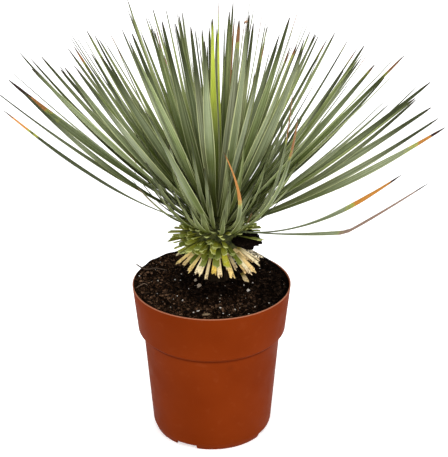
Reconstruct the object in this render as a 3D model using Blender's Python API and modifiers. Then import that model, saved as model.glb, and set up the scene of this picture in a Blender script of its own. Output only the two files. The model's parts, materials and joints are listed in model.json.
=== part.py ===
"""A beaked yucca in a round nursery pot: pot, soil, trunk with cut leaf bases, and a head of long leaves.

Metres, +Z up. The origin is the middle of the pot's underside, so the pot stands on z = 0.
The front of the plant looks along -Y and its right side is at +X.
"""

import math
import random

import bmesh
import bpy
from mathutils import Matrix, Vector, noise

# Pot: a thin-walled nursery pot with a deep collar, stepped in to a tapering body
POT_HEIGHT = 0.212
RIM_RADIUS = 0.105
COLLAR_DEPTH = 0.063
COLLAR_FOOT_RADIUS = 0.0985
STEP_DEPTH = 0.006
BODY_TOP_RADIUS = 0.0915
BODY_FOOT_RADIUS = 0.0810
HEEL_HEIGHT = 0.009
FOOT_RADIUS = 0.0775
POT_WALL = 0.0016
SKIRT_HEIGHT = 0.0060
SKIRT_WALL = 0.0024
PAD_RADIUS = 0.044
PAD_SLOPE = 0.003
TURNED_STEPS = 44

# Four drain slots in the foot skirt, and a ring of drain holes through the floor
FOOT_NOTCHES = 4
FOOT_NOTCH_WIDTH = 0.030
FOOT_NOTCH_HEIGHT = 0.0052
FOOT_NOTCH_REACH = 0.030
FOOT_NOTCH_TURN = math.radians(-116.5)
DRAIN_HOLES = 8
DRAIN_RADIUS = 0.0055
DRAIN_RING_RADIUS = 0.061
DRAIN_SIDES = 12

# Gap that touching pieces keep
SEAT_GAP = 0.0003

# Soil: lower than the rim at the front, heaped a little at the back and round the trunk
SOIL_EDGE_DROP = 0.012
SOIL_EDGE_BELOW_RIM = 0.0010
SOIL_TILT = 0.042
SOIL_TILT_TURN = math.radians(112)
SOIL_MOUND = 0.015
SOIL_MOUND_SPREAD = 0.050
SOIL_BUMP = 0.0016
SOIL_BUMP_SCALE = 62.0
SOIL_RINGS = 6

# Trunk: stands a little right of the pot's middle. The head's centre is where every leaf points away from
TRUNK_X = 0.007
HEAD_HEIGHT = POT_HEIGHT + 0.075
TRUNK_RADIUS = 0.0220
TRUNK_BURIED = 0.060
TRUNK_NECK_DROP = 0.040
TRUNK_STEPS = 24

# The head is three bodies stacked on the trunk's axis, parted by shallow cones through the head's centre
DRY_CORE_RADIUS = 0.031
GREEN_CORE_RADIUS = 0.035
CROWN_CORE_RADIUS = 0.029
DRY_TOP_SLOPE = math.radians(-24)
CROWN_FOOT_SLOPE = math.radians(-4)
DRY_CONE_OFFSET = -0.0020
CROWN_CONE_OFFSET = 0.0050

# Cut leaf bases: rows of straps that point away from the head's centre
CUT_ROOT_RADIUS = 0.0265
CROWN_CUT_ROOT_RADIUS = 0.0245
DRY_ROWS = ((-55, 13, 0.065), (-45, 18, 0.069), (-36, 22, 0.073))
CROWN_ROWS = ((17, 20, 0.047),)
GREEN_ROWS = ((-20.5, 22, 0.062), (-13, 24, 0.056), (-6, 26, 0.060), (0, 24, 0.053))
CUT_WIDTH = 0.0082
CUT_THICKNESS = 0.0030
CUT_ROOT_WIDTH_SHARE = 0.72
CUT_ROOT_THICKNESS_SHARE = 0.8
CUT_LENGTH_SPREAD = 0.0060
CUT_ANGLE_SPREAD = 1.5
CUT_ROLL_SPREAD = 17.0
CUT_SEED = 11

# Clod of potting soil caught among the cut bases on the right
CLOD_TURNS = (math.radians(-56), math.radians(-6))
CLOD_SLOPES = (math.radians(-18), math.radians(4))
CLOD_RADIUS = 0.062
CLOD_EDGE = 0.008
CLOD_ROUGHNESS = 0.0035
CLOD_LUMPS = 2.2
CLOD_SEED = 2.4
CLOD_COLUMNS = 7
CLOD_ROWS = 5
CLOD_TURN_MARGIN = math.radians(8)
CLOD_SLOPE_MARGIN = math.radians(6)

# Long leaves: evenly spread over a leaning cap by the golden angle. Those in front stand closer to upright
LEAF_COUNT = 156
LEAF_SEED = 1925
GOLDEN_ANGLE = math.pi * (3 - math.sqrt(5))
CAP_ANGLE = math.radians(60)
LEAN_RIGHT = math.radians(4)
LEAN_BACK = math.radians(5)
LEFT_CROWDING = 0.3
FRONT_RISE = 0.5
LEAF_JITTER = math.radians(3.3)
LEAF_MIDDLE = 0.2
INNER_LEAF_REACH = 0.280
OUTER_LEAF_REACH = 0.344
LEAF_REACH_SPREAD = 0.020
SIDE_REACH = 0.285
LEAF_ROOT_RADIUS = 0.024
LEAF_LIFT = Vector((0, 0, 0.0035))
LEAF_WIDTH = 0.0112
LEAF_WIDTH_SPREAD = 0.0018
LEAF_THICKNESS = 0.0020
TIP_THICKNESS_SHARE = 0.55
LEAF_BEND = math.radians(27)
LEAF_BEND_SPREAD = math.radians(4)
LEAF_BEND_HASTE = 1.6
LEAF_BEND_RISE = 1.3
LEAF_SWEEP_SPREAD = math.radians(6)
LEAF_ROOT_ROLL = math.radians(18)
LEAF_ROLL_SPREAD = math.radians(75)
LEAF_LOWEST_START = math.radians(10)
LEAF_STATIONS = (0.0, 0.15, 0.35, 0.55, 0.725, 0.875)
LEAF_WALK = 40

# Share of the leaf's full width at shares of its length
LEAF_OUTLINE = (
    (0.0, 0.50), (0.12, 0.52), (0.30, 0.78), (0.48, 1.0), (0.62, 0.92), (0.76, 0.62), (0.88, 0.27), (1.0, 0.05),
)

# Old leaves that are placed one by one, as turn, slope at the root, bend, reach, sweep, roll and width
# (degrees and metres). Turn 0 is to the right and -90 to the front.
OLD_LEAVES = (
    (-46, 5, 36, 0.372, 0, 25, 0.0070),
    (-45, 11, 31, 0.333, 0, 40, 0.0095),
    (12, 10, 19, 0.330, -1, 30, 0.0105),
    (-149, 21, 29, 0.350, -3, 66, 0.0075),
    (163, 26, 11, 0.333, 2, -40, 0.0125),
    (-80, 12, 43, 0.370, -30, 10, 0.0080),
    (-60, 18, 64, 0.319, -7, 35, 0.0070),
    (-64, 20, 42, 0.346, -22, 30, 0.0085),
    (-103, 32, 21, 0.358, -16, -18, 0.0135),
)
OLD_LEAF_CLEARANCE = math.radians(6.5)


def clear_scene():
    for thing in list(bpy.data.objects):
        bpy.data.objects.remove(thing)


def new_collection(name):
    collection = bpy.data.collections.new(name)
    bpy.context.scene.collection.children.link(collection)
    return collection


def new_material(name, colour, roughness):
    material = bpy.data.materials.new(name)
    material.use_nodes = True
    shader = material.node_tree.nodes["Principled BSDF"]
    shader.inputs["Base Color"].default_value = (*colour, 1.0)
    shader.inputs["Roughness"].default_value = roughness
    shader.inputs["Metallic"].default_value = 0.0
    return material


def paint(thing, material):
    """Gives the whole object one material."""
    thing.data.materials.clear()
    thing.data.materials.append(material)
    for face in thing.data.polygons:
        face.material_index = 0


def mesh_object(name, shape, collection):
    """An object made of a shape, which is then freed."""
    mesh = bpy.data.meshes.new(name)
    shape.to_mesh(mesh)
    shape.free()
    thing = bpy.data.objects.new(name, mesh)
    collection.objects.link(thing)
    return thing


def applied(thing):
    """The object with its modifiers applied to its mesh."""
    graph = bpy.context.evaluated_depsgraph_get()
    mesh = bpy.data.meshes.new_from_object(thing.evaluated_get(graph))
    thing.modifiers.clear()
    thing.data = mesh
    return thing


def turned(name, profile, steps, collection):
    """A profile of (radius, height) points from axis to axis, turned round Z."""
    shape = bmesh.new()
    points = [shape.verts.new((radius, 0, height)) for radius, height in profile]
    for upper, lower in zip(points, points[1:]):
        shape.edges.new((upper, lower))
    thing = mesh_object(name, shape, collection)
    screw = thing.modifiers.new("turn", "SCREW")
    screw.axis = "Z"
    screw.angle = 2 * math.pi
    screw.steps = screw.render_steps = steps
    screw.use_merge_vertices = True
    screw.merge_threshold = 0.00001
    return applied(thing)


def rounded(corners, steps=2):
    """An outline whose corners, given as (radius, height, rounding), are replaced by arcs."""
    outline = []
    for index, (x, z, rounding) in enumerate(corners):
        here = Vector((x, z))
        if rounding == 0:
            outline.append((x, z))
            continue
        before = (Vector(corners[index - 1][:2]) - here).normalized()
        after = (Vector(corners[index + 1][:2]) - here).normalized()
        half = before.angle(after) / 2
        reach = rounding / math.tan(half)
        centre = here + (before + after).normalized() * (rounding / math.sin(half))
        first = here + before * reach - centre
        last = here + after * reach - centre
        for step in range(steps + 1):
            spoke = first.lerp(last, step / steps).normalized() * rounding
            outline.append(tuple(centre + spoke))
    return outline


def inset(points, distance):
    """The outline moved to its right-hand side by a distance, with mitred corners."""
    moved = []
    for index, point in enumerate(points):
        here = Vector(point)
        sides = []
        if index > 0:
            sides.append((here - Vector(points[index - 1])).normalized())
        if index < len(points) - 1:
            sides.append((Vector(points[index + 1]) - here).normalized())
        rights = [Vector((side.y, -side.x)) for side in sides]
        mean = sum(rights, Vector((0, 0))).normalized()
        moved.append(tuple(here + mean * (distance / mean.dot(rights[0]))))
    return moved


def cut(thing, cutters):
    """Takes a collection of closed cutters out of an object."""
    difference = thing.modifiers.new("cut", "BOOLEAN")
    difference.operation = "DIFFERENCE"
    difference.operand_type = "COLLECTION"
    difference.collection = cutters
    difference.solver = "EXACT"
    applied(thing)
    empty_out(cutters)


def join(thing, pieces, solver):
    """Fuses a collection of closed pieces to an object."""
    union = thing.modifiers.new("join", "BOOLEAN")
    union.operation = "UNION"
    union.operand_type = "COLLECTION"
    union.collection = pieces
    union.solver = solver
    applied(thing)
    empty_out(pieces)


def round_cutter(name, centre, radius, low, high, sides, collection):
    """An upright cylinder that is taken out of another object."""
    cylinder = bmesh.new()
    bmesh.ops.create_cone(
        cylinder, cap_ends=True, segments=sides, radius1=radius, radius2=radius, depth=high - low,
    )
    cylinder.transform(Matrix.Translation((centre.x, centre.y, (low + high) / 2)))
    mesh_object(name, cylinder, collection)


def empty_out(collection):
    for thing in list(collection.objects):
        bpy.data.objects.remove(thing)
    bpy.data.collections.remove(collection)


def away(turn, slope):
    """Unit vector at a turn round Z and a slope above the level."""
    return Vector((math.cos(turn) * math.cos(slope), math.sin(turn) * math.cos(slope), math.sin(slope)))


HEAD_CENTRE = Vector((TRUNK_X, 0, HEAD_HEIGHT))


def pot_outside():
    """Outside of the pot's wall from the rim down to the heel, as (radius, height) points."""
    collar_foot = POT_HEIGHT - COLLAR_DEPTH
    return rounded((
        (RIM_RADIUS, POT_HEIGHT, 0),
        (COLLAR_FOOT_RADIUS, collar_foot, 0.002),
        (BODY_TOP_RADIUS, collar_foot - STEP_DEPTH, 0.002),
        (BODY_FOOT_RADIUS, HEEL_HEIGHT, 0.010),
        (FOOT_RADIUS, 0, 0),
    ))


def pot_inside():
    """Inside of the pot from the rim down to the floor and in to the axis, as (radius, height) points."""
    floor = SKIRT_HEIGHT + POT_WALL
    wall = [point for point in inset(pot_outside(), POT_WALL) if point[1] > floor + 0.002]
    pad_top = PAD_RADIUS - POT_WALL
    floor_edge = BODY_FOOT_RADIUS - 2 * POT_WALL
    return [
        (wall[0][0], POT_HEIGHT),
        *wall[1:],
        (floor_edge, floor),
        (pad_top + PAD_SLOPE, floor),
        (pad_top, POT_WALL),
        (0, POT_WALL),
    ]


def make_pot(parts):
    skirt_inner = FOOT_RADIUS - SKIRT_WALL
    underside = [
        (skirt_inner, 0),
        (skirt_inner, SKIRT_HEIGHT),
        (PAD_RADIUS + PAD_SLOPE, SKIRT_HEIGHT),
        (PAD_RADIUS, 0),
        (0, 0),
    ]
    profile = [*reversed(pot_inside()), *pot_outside(), *underside]
    pot = turned("pot", profile, TURNED_STEPS, parts)
    cutters = new_collection("pot cutters")
    for number in range(FOOT_NOTCHES):
        turn = FOOT_NOTCH_TURN + number * 2 * math.pi / FOOT_NOTCHES
        slot = bmesh.new()
        bmesh.ops.create_cube(slot, size=1)
        place = Matrix.Rotation(turn, 4, "Z") @ Matrix.Translation((FOOT_RADIUS, 0, 0))
        size = Matrix.Diagonal((FOOT_NOTCH_REACH, FOOT_NOTCH_WIDTH, 2 * FOOT_NOTCH_HEIGHT, 1))
        slot.transform(place @ size)
        mesh_object(f"foot notch {number}", slot, cutters)
    for number in range(DRAIN_HOLES):
        turn = (number + 0.5) * 2 * math.pi / DRAIN_HOLES
        hole = bmesh.new()
        centre = away(turn, 0) * DRAIN_RING_RADIUS
        round_cutter(f"drain hole {number}", centre, DRAIN_RADIUS, SKIRT_HEIGHT - POT_WALL,
                     SKIRT_HEIGHT + 2 * POT_WALL, DRAIN_SIDES, cutters)
    cut(pot, cutters)
    paint(pot, new_material("terracotta plastic", (0.42, 0.105, 0.028), 0.42))


def soil_height(x, y):
    """Height of the soil's surface: a gentle mound that leans up to the back, with low lumps."""
    from_trunk = math.hypot(x - TRUNK_X, y)
    mound = SOIL_MOUND * math.exp(-((from_trunk / SOIL_MOUND_SPREAD) ** 2))
    lumps = SOIL_BUMP * noise.noise(Vector((x, y, 0.37)) * SOIL_BUMP_SCALE)
    rise = SOIL_TILT * (x * math.cos(SOIL_TILT_TURN) + y * math.sin(SOIL_TILT_TURN))
    return POT_HEIGHT - SOIL_EDGE_BELOW_RIM + rise + mound + lumps


def make_soil(parts):
    lining = inset(pot_inside(), SEAT_GAP)
    rim, foot_of_collar = lining[0], lining[1]
    level = POT_HEIGHT - SOIL_EDGE_DROP
    wall_slope = (rim[0] - foot_of_collar[0]) / (rim[1] - foot_of_collar[1])
    edge = rim[0] - wall_slope * (rim[1] - level)
    surface = [(edge * ring / SOIL_RINGS, level) for ring in range(SOIL_RINGS + 1)]
    side = [point for point in lining if point[1] < level]
    soil = turned("soil", [*surface, *side], TURNED_STEPS, parts)
    for vertex in soil.data.vertices:
        if abs(vertex.co.z - level) < SEAT_GAP:
            lift = soil_height(vertex.co.x, vertex.co.y) - level
            radius = math.hypot(vertex.co.x, vertex.co.y)
            if radius > edge - SEAT_GAP:
                vertex.co.x *= 1 + wall_slope * lift / radius
                vertex.co.y *= 1 + wall_slope * lift / radius
            vertex.co.z += lift
    cutters = new_collection("soil cutters")
    foot = POT_HEIGHT - TRUNK_BURIED - SEAT_GAP
    round_cutter("trunk hole", HEAD_CENTRE, TRUNK_RADIUS + 2 * SEAT_GAP, foot, HEAD_HEIGHT, TRUNK_STEPS, cutters)
    cut(soil, cutters)
    paint(soil, new_material("potting soil", (0.022, 0.014, 0.010), 0.95))


def core_arc(radius, low, high, steps):
    """Points (radius, height) of a round core from a high slope down to a low one, about the head's centre."""
    slopes = [high + (low - high) * step / steps for step in range(steps + 1)]
    return [(radius * math.cos(slope), HEAD_HEIGHT + radius * math.sin(slope)) for slope in slopes]


def cone_point(radius, slope, offset):
    """Where the parting cone with this slope, moved up or down by offset, meets a core of this radius."""
    from_line = offset * math.cos(slope)
    run = math.cos(slope) * math.sqrt(radius**2 - from_line**2) - math.sin(slope) * from_line
    return run, HEAD_HEIGHT + offset + run * math.tan(slope)


def cut_base(name, direction, roll, root, reach, collection):
    """A strap from inside the core out to its square cut end, where it is widest."""
    strap = bmesh.new()
    bmesh.ops.create_cube(strap, size=1)
    for vertex in strap.verts:
        outer = vertex.co.x > 0
        vertex.co.x = reach if outer else root
        vertex.co.y *= CUT_WIDTH * (1 if outer else CUT_ROOT_WIDTH_SHARE)
        vertex.co.z *= CUT_THICKNESS * (1 if outer else CUT_ROOT_THICKNESS_SHARE)
    level = Vector((-direction.y, direction.x, 0)).normalized()
    frame = Matrix((direction, level, direction.cross(level))).transposed().to_4x4()
    strap.transform(Matrix.Translation(HEAD_CENTRE) @ frame @ Matrix.Rotation(roll, 4, "X"))
    mesh_object(name, strap, collection)


def in_clod(turn, slope):
    """Whether a cut base would stand where the clod sits."""
    turn = (turn + math.pi) % (2 * math.pi) - math.pi
    return (
        CLOD_TURNS[0] - CLOD_TURN_MARGIN < turn < CLOD_TURNS[1] + CLOD_TURN_MARGIN
        and CLOD_SLOPES[0] - CLOD_SLOPE_MARGIN < slope < CLOD_SLOPES[1] + CLOD_SLOPE_MARGIN
    )


def add_cut_rows(rows, root, draw, collection):
    for row, (slope_degrees, count, reach) in enumerate(rows):
        for number in range(count):
            turn = (number + 0.5 * (row % 2)) * 2 * math.pi / count
            turn += math.radians(draw.gauss(0, 2 * CUT_ANGLE_SPREAD))
            slope = math.radians(slope_degrees + draw.uniform(-1, 1) * CUT_ANGLE_SPREAD)
            roll = math.radians(draw.uniform(-1, 1) * CUT_ROLL_SPREAD)
            length = reach + draw.uniform(-1, 1) * CUT_LENGTH_SPREAD
            if not in_clod(turn, slope):
                cut_base(f"cut {row} {number}", away(turn, slope), roll, root, length, collection)


def make_trunk(parts):
    """The stem from its buried foot to the lowest leaf bases, which are dry and straw coloured."""
    shoulder = cone_point(DRY_CORE_RADIUS, DRY_TOP_SLOPE, DRY_CONE_OFFSET)
    neck = HEAD_HEIGHT - TRUNK_NECK_DROP
    profile = [
        (0, HEAD_HEIGHT + DRY_CONE_OFFSET),
        shoulder,
        *core_arc(DRY_CORE_RADIUS, math.radians(-52), math.radians(-40), 1),
        (TRUNK_RADIUS - 0.001, neck),
        (TRUNK_RADIUS, POT_HEIGHT),
        (TRUNK_RADIUS, POT_HEIGHT - 0.8 * TRUNK_BURIED),
        (0.7 * TRUNK_RADIUS, POT_HEIGHT - TRUNK_BURIED),
        (0, POT_HEIGHT - TRUNK_BURIED),
    ]
    trunk = turned("trunk_dry_leaf_bases", profile, TRUNK_STEPS, parts)
    trunk.data.transform(Matrix.Translation((TRUNK_X, 0, 0)))
    straps = new_collection("dry straps")
    add_cut_rows(DRY_ROWS, CUT_ROOT_RADIUS, random.Random(CUT_SEED), straps)
    join(trunk, straps, "EXACT")
    paint(trunk, new_material("dry leaf base", (0.62, 0.46, 0.22), 0.7))


def make_green_bases(parts):
    """The stem's next stretch, set all round with green leaf bases cut short."""
    foot_slope_offset = DRY_CONE_OFFSET + SEAT_GAP / math.cos(DRY_TOP_SLOPE)
    upper = cone_point(GREEN_CORE_RADIUS, CROWN_FOOT_SLOPE, CROWN_CONE_OFFSET - SEAT_GAP)
    lower = cone_point(GREEN_CORE_RADIUS, DRY_TOP_SLOPE, foot_slope_offset)
    profile = [
        (0, HEAD_HEIGHT + CROWN_CONE_OFFSET - SEAT_GAP),
        upper,
        *core_arc(GREEN_CORE_RADIUS, math.radians(-21), math.radians(-7), 1),
        lower,
        (0, HEAD_HEIGHT + foot_slope_offset),
    ]
    bases = turned("green_leaf_bases", profile, TRUNK_STEPS, parts)
    bases.data.transform(Matrix.Translation((TRUNK_X, 0, 0)))
    straps = new_collection("green straps")
    add_cut_rows(GREEN_ROWS, CUT_ROOT_RADIUS, random.Random(CUT_SEED + 1), straps)
    join(bases, straps, "EXACT")
    paint(bases, new_material("green leaf base", (0.20, 0.27, 0.08), 0.55))


def make_clod(parts):
    """A lump of soil in the pocket between the cut bases, seated on the green core."""
    clod = bmesh.new()
    bmesh.ops.create_grid(clod, x_segments=CLOD_COLUMNS, y_segments=CLOD_ROWS, size=1)
    outer = list(clod.verts)
    back = bmesh.ops.duplicate(clod, geom=clod.verts[:] + clod.edges[:] + clod.faces[:])
    twins = back["vert_map"]
    inner_radius = GREEN_CORE_RADIUS + SEAT_GAP
    for vertex in outer:
        across, up = vertex.co.x, vertex.co.y
        turn = CLOD_TURNS[0] + (CLOD_TURNS[1] - CLOD_TURNS[0]) * (across + 1) / 2
        slope = CLOD_SLOPES[0] + (CLOD_SLOPES[1] - CLOD_SLOPES[0]) * (up + 1) / 2
        swell = (1 - across**4) * (1 - up**4)
        rough = CLOD_ROUGHNESS * noise.noise(Vector((across, up, CLOD_SEED)) * CLOD_LUMPS)
        radius = inner_radius + CLOD_EDGE + (CLOD_RADIUS - inner_radius - CLOD_EDGE) * swell + rough
        vertex.co = HEAD_CENTRE + away(turn, slope) * radius
        twins[vertex].co = HEAD_CENTRE + away(turn, slope) * inner_radius
    rim = [edge for edge in clod.edges if edge.is_boundary]
    bmesh.ops.bridge_loops(clod, edges=rim)
    bmesh.ops.recalc_face_normals(clod, faces=clod.faces[:])
    thing = mesh_object("soil_clod", clod, parts)
    paint(thing, new_material("peat clod", (0.018, 0.012, 0.009), 0.95))


def outline_share(share):
    """Width of a leaf at a share of its length, as a share of its full width."""
    for (low, low_width), (high, high_width) in zip(LEAF_OUTLINE, LEAF_OUTLINE[1:]):
        if share <= high:
            blend = (share - low) / (high - low)
            return low_width + (high_width - low_width) * blend
    return LEAF_OUTLINE[-1][1]


def leaf_path(turn, start, bend, reach, sweep):
    """Points along a leaf's midrib from inside the core to its tip, with the direction at each.

    The leaf leaves the head's centre at its starting slope and curves up by its bend, most of it early on.
    """
    step = (reach - LEAF_ROOT_RADIUS) / LEAF_WALK
    here = HEAD_CENTRE + LEAF_LIFT + away(turn, start) * LEAF_ROOT_RADIUS
    path = []
    for stride in range(LEAF_WALK + 1):
        share = stride / LEAF_WALK
        slope = start + bend * (1 - (1 - share) ** LEAF_BEND_HASTE)
        heading = away(turn + sweep * share**2, slope)
        path.append((here.copy(), heading))
        here = here + heading * step
    return path


def leaf_rule():
    """Every leaf as (turn, start, bend, reach, sweep, roll at the root, roll at the tip, width)."""
    draw = random.Random(LEAF_SEED)
    old = []
    for turn, start, bend, reach, sweep, roll, width in OLD_LEAVES:
        angles = [math.radians(value) for value in (turn, start, bend)]
        old.append((*angles, reach, math.radians(sweep), 0.0, math.radians(roll), width))
    leaves = list(old)
    lean = Matrix.Rotation(LEAN_RIGHT, 3, "Y") @ Matrix.Rotation(-LEAN_BACK, 3, "X")
    for number in range(LEAF_COUNT):
        share = (number + 0.5) / LEAF_COUNT
        from_axis = math.acos(1 - share * (1 - math.cos(CAP_ANGLE)))
        turn = number * GOLDEN_ANGLE + draw.gauss(0, LEAF_JITTER) / max(math.sin(from_axis), LEAF_MIDDLE)
        from_axis += draw.gauss(0, LEAF_JITTER)
        turn += LEFT_CROWDING * math.sin(turn)
        from_axis *= 1 - FRONT_RISE * max(0.0, -math.sin(turn)) ** 2
        chord = lean @ away(turn, math.pi / 2 - from_axis)
        turn, slope = math.atan2(chord.y, chord.x), math.asin(chord.z)
        openness = max(0.0, 1 - slope / (math.pi / 2))
        bend = LEAF_BEND * openness**LEAF_BEND_RISE + draw.gauss(0, LEAF_BEND_SPREAD)
        start = slope - bend * LEAF_BEND_HASTE / (LEAF_BEND_HASTE + 1)
        start = max(start, LEAF_LOWEST_START)
        reach = INNER_LEAF_REACH + (OUTER_LEAF_REACH - INNER_LEAF_REACH) * share
        reach += LEAF_REACH_SPREAD * draw.uniform(-1, 1)
        if abs(chord.x) * reach > SIDE_REACH:
            reach = SIDE_REACH / abs(chord.x)
        sweep = draw.gauss(0, LEAF_SWEEP_SPREAD)
        root_roll = LEAF_ROOT_ROLL * draw.uniform(-1, 1)
        roll = LEAF_ROLL_SPREAD * draw.uniform(-1, 1)
        width = LEAF_WIDTH + LEAF_WIDTH_SPREAD * draw.uniform(-1, 1)
        root = away(turn, start)
        if min(root.angle(away(leaf[0], leaf[1])) for leaf in old) > OLD_LEAF_CLEARANCE:
            leaves.append((turn, start, bend, reach, sweep, root_roll, roll, width))
    return leaves


def leaf_blade(name, leaf, collection):
    """A blade with a flat upper face and a keel below, drawn out to a needle point.

    All three of its sides are split along the same diagonal, so that a twisted blade keeps its thickness.
    """
    turn, start, bend, reach, sweep, root_roll, roll, width = leaf
    path = leaf_path(turn, start, bend, reach, sweep)
    blade = bmesh.new()
    rings = []
    for share in LEAF_STATIONS:
        here, heading = path[round(share * LEAF_WALK)]
        level = Vector((-heading.y, heading.x, 0)).normalized()
        twist = root_roll + (roll - root_roll) * share * share * (3 - 2 * share)
        across = Matrix.Rotation(twist, 3, heading) @ level
        above = heading.cross(across)
        half = width * outline_share(share) / 2
        depth = LEAF_THICKNESS * (TIP_THICKNESS_SHARE + (1 - TIP_THICKNESS_SHARE) * outline_share(share))
        ring = [here + across * half, here - across * half, here - above * depth]
        rings.append([blade.verts.new(point) for point in ring])
    tip = blade.verts.new(path[-1][0])
    for (left, right, keel), (next_left, next_right, next_keel) in zip(rings, rings[1:]):
        blade.faces.new((left, right, next_right))
        blade.faces.new((left, next_right, next_left))
        blade.faces.new((right, keel, next_right))
        blade.faces.new((keel, next_keel, next_right))
        blade.faces.new((keel, left, next_keel))
        blade.faces.new((left, next_left, next_keel))
    for side in range(3):
        blade.faces.new((rings[-1][side], rings[-1][(side + 1) % 3], tip))
    blade.faces.new(reversed(rings[0]))
    bmesh.ops.recalc_face_normals(blade, faces=blade.faces[:])
    mesh_object(name, blade, collection)


def make_crown(parts):
    """The growing head with all its long leaves."""
    foot = cone_point(CROWN_CORE_RADIUS, CROWN_FOOT_SLOPE, CROWN_CONE_OFFSET)
    profile = [
        *core_arc(CROWN_CORE_RADIUS, math.radians(15), math.radians(90), 4),
        foot,
        (0, HEAD_HEIGHT + CROWN_CONE_OFFSET),
    ]
    profile[0] = (0, profile[0][1])
    crown = turned("leaf_crown", profile, TRUNK_STEPS, parts)
    crown.data.transform(Matrix.Translation((TRUNK_X, 0, 0)))
    blades = new_collection("leaf blades")
    add_cut_rows(CROWN_ROWS, CROWN_CUT_ROOT_RADIUS, random.Random(CUT_SEED + 2), blades)
    for number, leaf in enumerate(leaf_rule()):
        leaf_blade(f"leaf {number}", leaf, blades)
    join(crown, blades, "MANIFOLD")
    paint(crown, new_material("yucca leaf", (0.17, 0.23, 0.13), 0.5))


def main():
    clear_scene()
    parts = new_collection("beaked yucca")
    make_pot(parts)
    make_soil(parts)
    make_trunk(parts)
    make_green_bases(parts)
    make_clod(parts)
    make_crown(parts)


main()
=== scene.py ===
import json
from math import acos, asin, atan2, cos, exp, hypot, pi, radians, sin, sqrt, tan, tau
from random import Random

import bmesh
import bpy
from mathutils import Matrix, Vector, noise

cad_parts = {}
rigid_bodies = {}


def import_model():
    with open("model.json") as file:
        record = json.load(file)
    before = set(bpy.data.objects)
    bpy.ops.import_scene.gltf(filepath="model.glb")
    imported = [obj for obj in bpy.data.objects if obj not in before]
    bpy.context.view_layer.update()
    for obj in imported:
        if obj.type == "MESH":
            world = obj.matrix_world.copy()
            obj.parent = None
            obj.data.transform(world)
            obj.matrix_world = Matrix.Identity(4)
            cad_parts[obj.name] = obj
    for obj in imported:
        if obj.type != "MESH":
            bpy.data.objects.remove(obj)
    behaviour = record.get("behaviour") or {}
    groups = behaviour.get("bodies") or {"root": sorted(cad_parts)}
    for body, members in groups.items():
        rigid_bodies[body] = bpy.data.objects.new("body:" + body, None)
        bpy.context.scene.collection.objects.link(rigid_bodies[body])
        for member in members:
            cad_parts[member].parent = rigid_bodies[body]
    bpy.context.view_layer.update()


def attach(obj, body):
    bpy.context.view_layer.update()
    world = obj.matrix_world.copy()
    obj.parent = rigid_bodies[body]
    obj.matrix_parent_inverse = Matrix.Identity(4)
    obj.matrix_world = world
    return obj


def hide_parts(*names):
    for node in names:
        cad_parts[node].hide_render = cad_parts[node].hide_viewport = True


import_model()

# Nursery pot. The real one is moulded in one shot from terracotta-coloured polypropylene, with a wall so
# thin that it flexes, a deep collar that stiffens the rim and lets empty pots stack, and a foot skirt with
# four slots and eight round holes in the floor that let water out.
pot_height = 0.212
rim_radius = 0.105
collar_depth = 0.063
collar_foot = pot_height - collar_depth
collar_foot_radius = 0.0985
step_depth = 0.006
step_foot = collar_foot - step_depth
body_top_radius = 0.0915
body_foot_radius = 0.0810
heel_height = 0.009
foot_radius = 0.0775
pot_wall = 0.0016
skirt_height = 0.0060
skirt_wall = 0.0024
pad_radius = 0.044
pad_slope = 0.003
foot_slots = 4
foot_slot_width = 0.030
foot_slot_height = 0.0056
foot_slot_turn = radians(-116.5)
drain_holes = 8
drain_radius = 0.0055
drain_depth = 0.006
drain_ring_radius = 0.061
pot_steps = 192
corner_steps = 6
moulded_edge = 0.0004
# The place and the reach of each
rubbed_spots = (((-0.0390, -0.0975, 0.2085), 0.0035), ((0.0240, -0.0875, 0.1310), 0.0065))


def away(turn, slope):
    """Unit vector at a turn round the upright axis and a slope above the level."""
    return Vector((cos(turn) * cos(slope), sin(turn) * cos(slope), sin(slope)))


def rounded(corners):
    """An outline whose corners, given as (radius, height, rounding), are turned into arcs."""
    outline = []
    for index, (x, z, rounding) in enumerate(corners):
        here = Vector((x, z))
        if rounding == 0:
            outline.append((x, z))
            continue
        before = (Vector(corners[index - 1][:2]) - here).normalized()
        after = (Vector(corners[index + 1][:2]) - here).normalized()
        half = before.angle(after) / 2
        centre = here + (before + after).normalized() * (rounding / sin(half))
        first = here + before * (rounding / tan(half)) - centre
        last = here + after * (rounding / tan(half)) - centre
        for step in range(corner_steps + 1):
            outline.append(tuple(centre + first.lerp(last, step / corner_steps).normalized() * rounding))
    return outline


def inset(points, distance):
    """The outline moved to its right-hand side by a distance, with mitred corners."""
    moved = []
    for index, point in enumerate(points):
        here = Vector(point)
        sides = []
        if index > 0:
            sides.append((here - Vector(points[index - 1])).normalized())
        if index < len(points) - 1:
            sides.append((Vector(points[index + 1]) - here).normalized())
        rights = [Vector((side.y, -side.x)) for side in sides]
        mean = sum(rights, Vector((0, 0))).normalized()
        moved.append(tuple(here + mean * (distance / mean.dot(rights[0]))))
    return moved


def set_out(name, data):
    """A new object in the scene."""
    piece = bpy.data.objects.new(name, data)
    bpy.context.collection.objects.link(piece)
    return piece


def laid_out(name, shape):
    """A piece made of a finished shape, with its faces turned outwards."""
    bmesh.ops.recalc_face_normals(shape, faces=shape.faces[:])
    if shape.calc_volume(signed=True) < 0:
        bmesh.ops.reverse_faces(shape, faces=shape.faces[:])
    mesh = bpy.data.meshes.new(name)
    shape.to_mesh(mesh)
    shape.free()
    return set_out(name, mesh)


def skin(shape, rings):
    """Faces from each ring of points to the next, all round."""
    for ring, next_ring in zip(rings, rings[1:]):
        for step in range(len(ring)):
            after = (step + 1) % len(ring)
            shape.faces.new(dict.fromkeys((ring[step], next_ring[step], next_ring[after], ring[after])))


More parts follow.
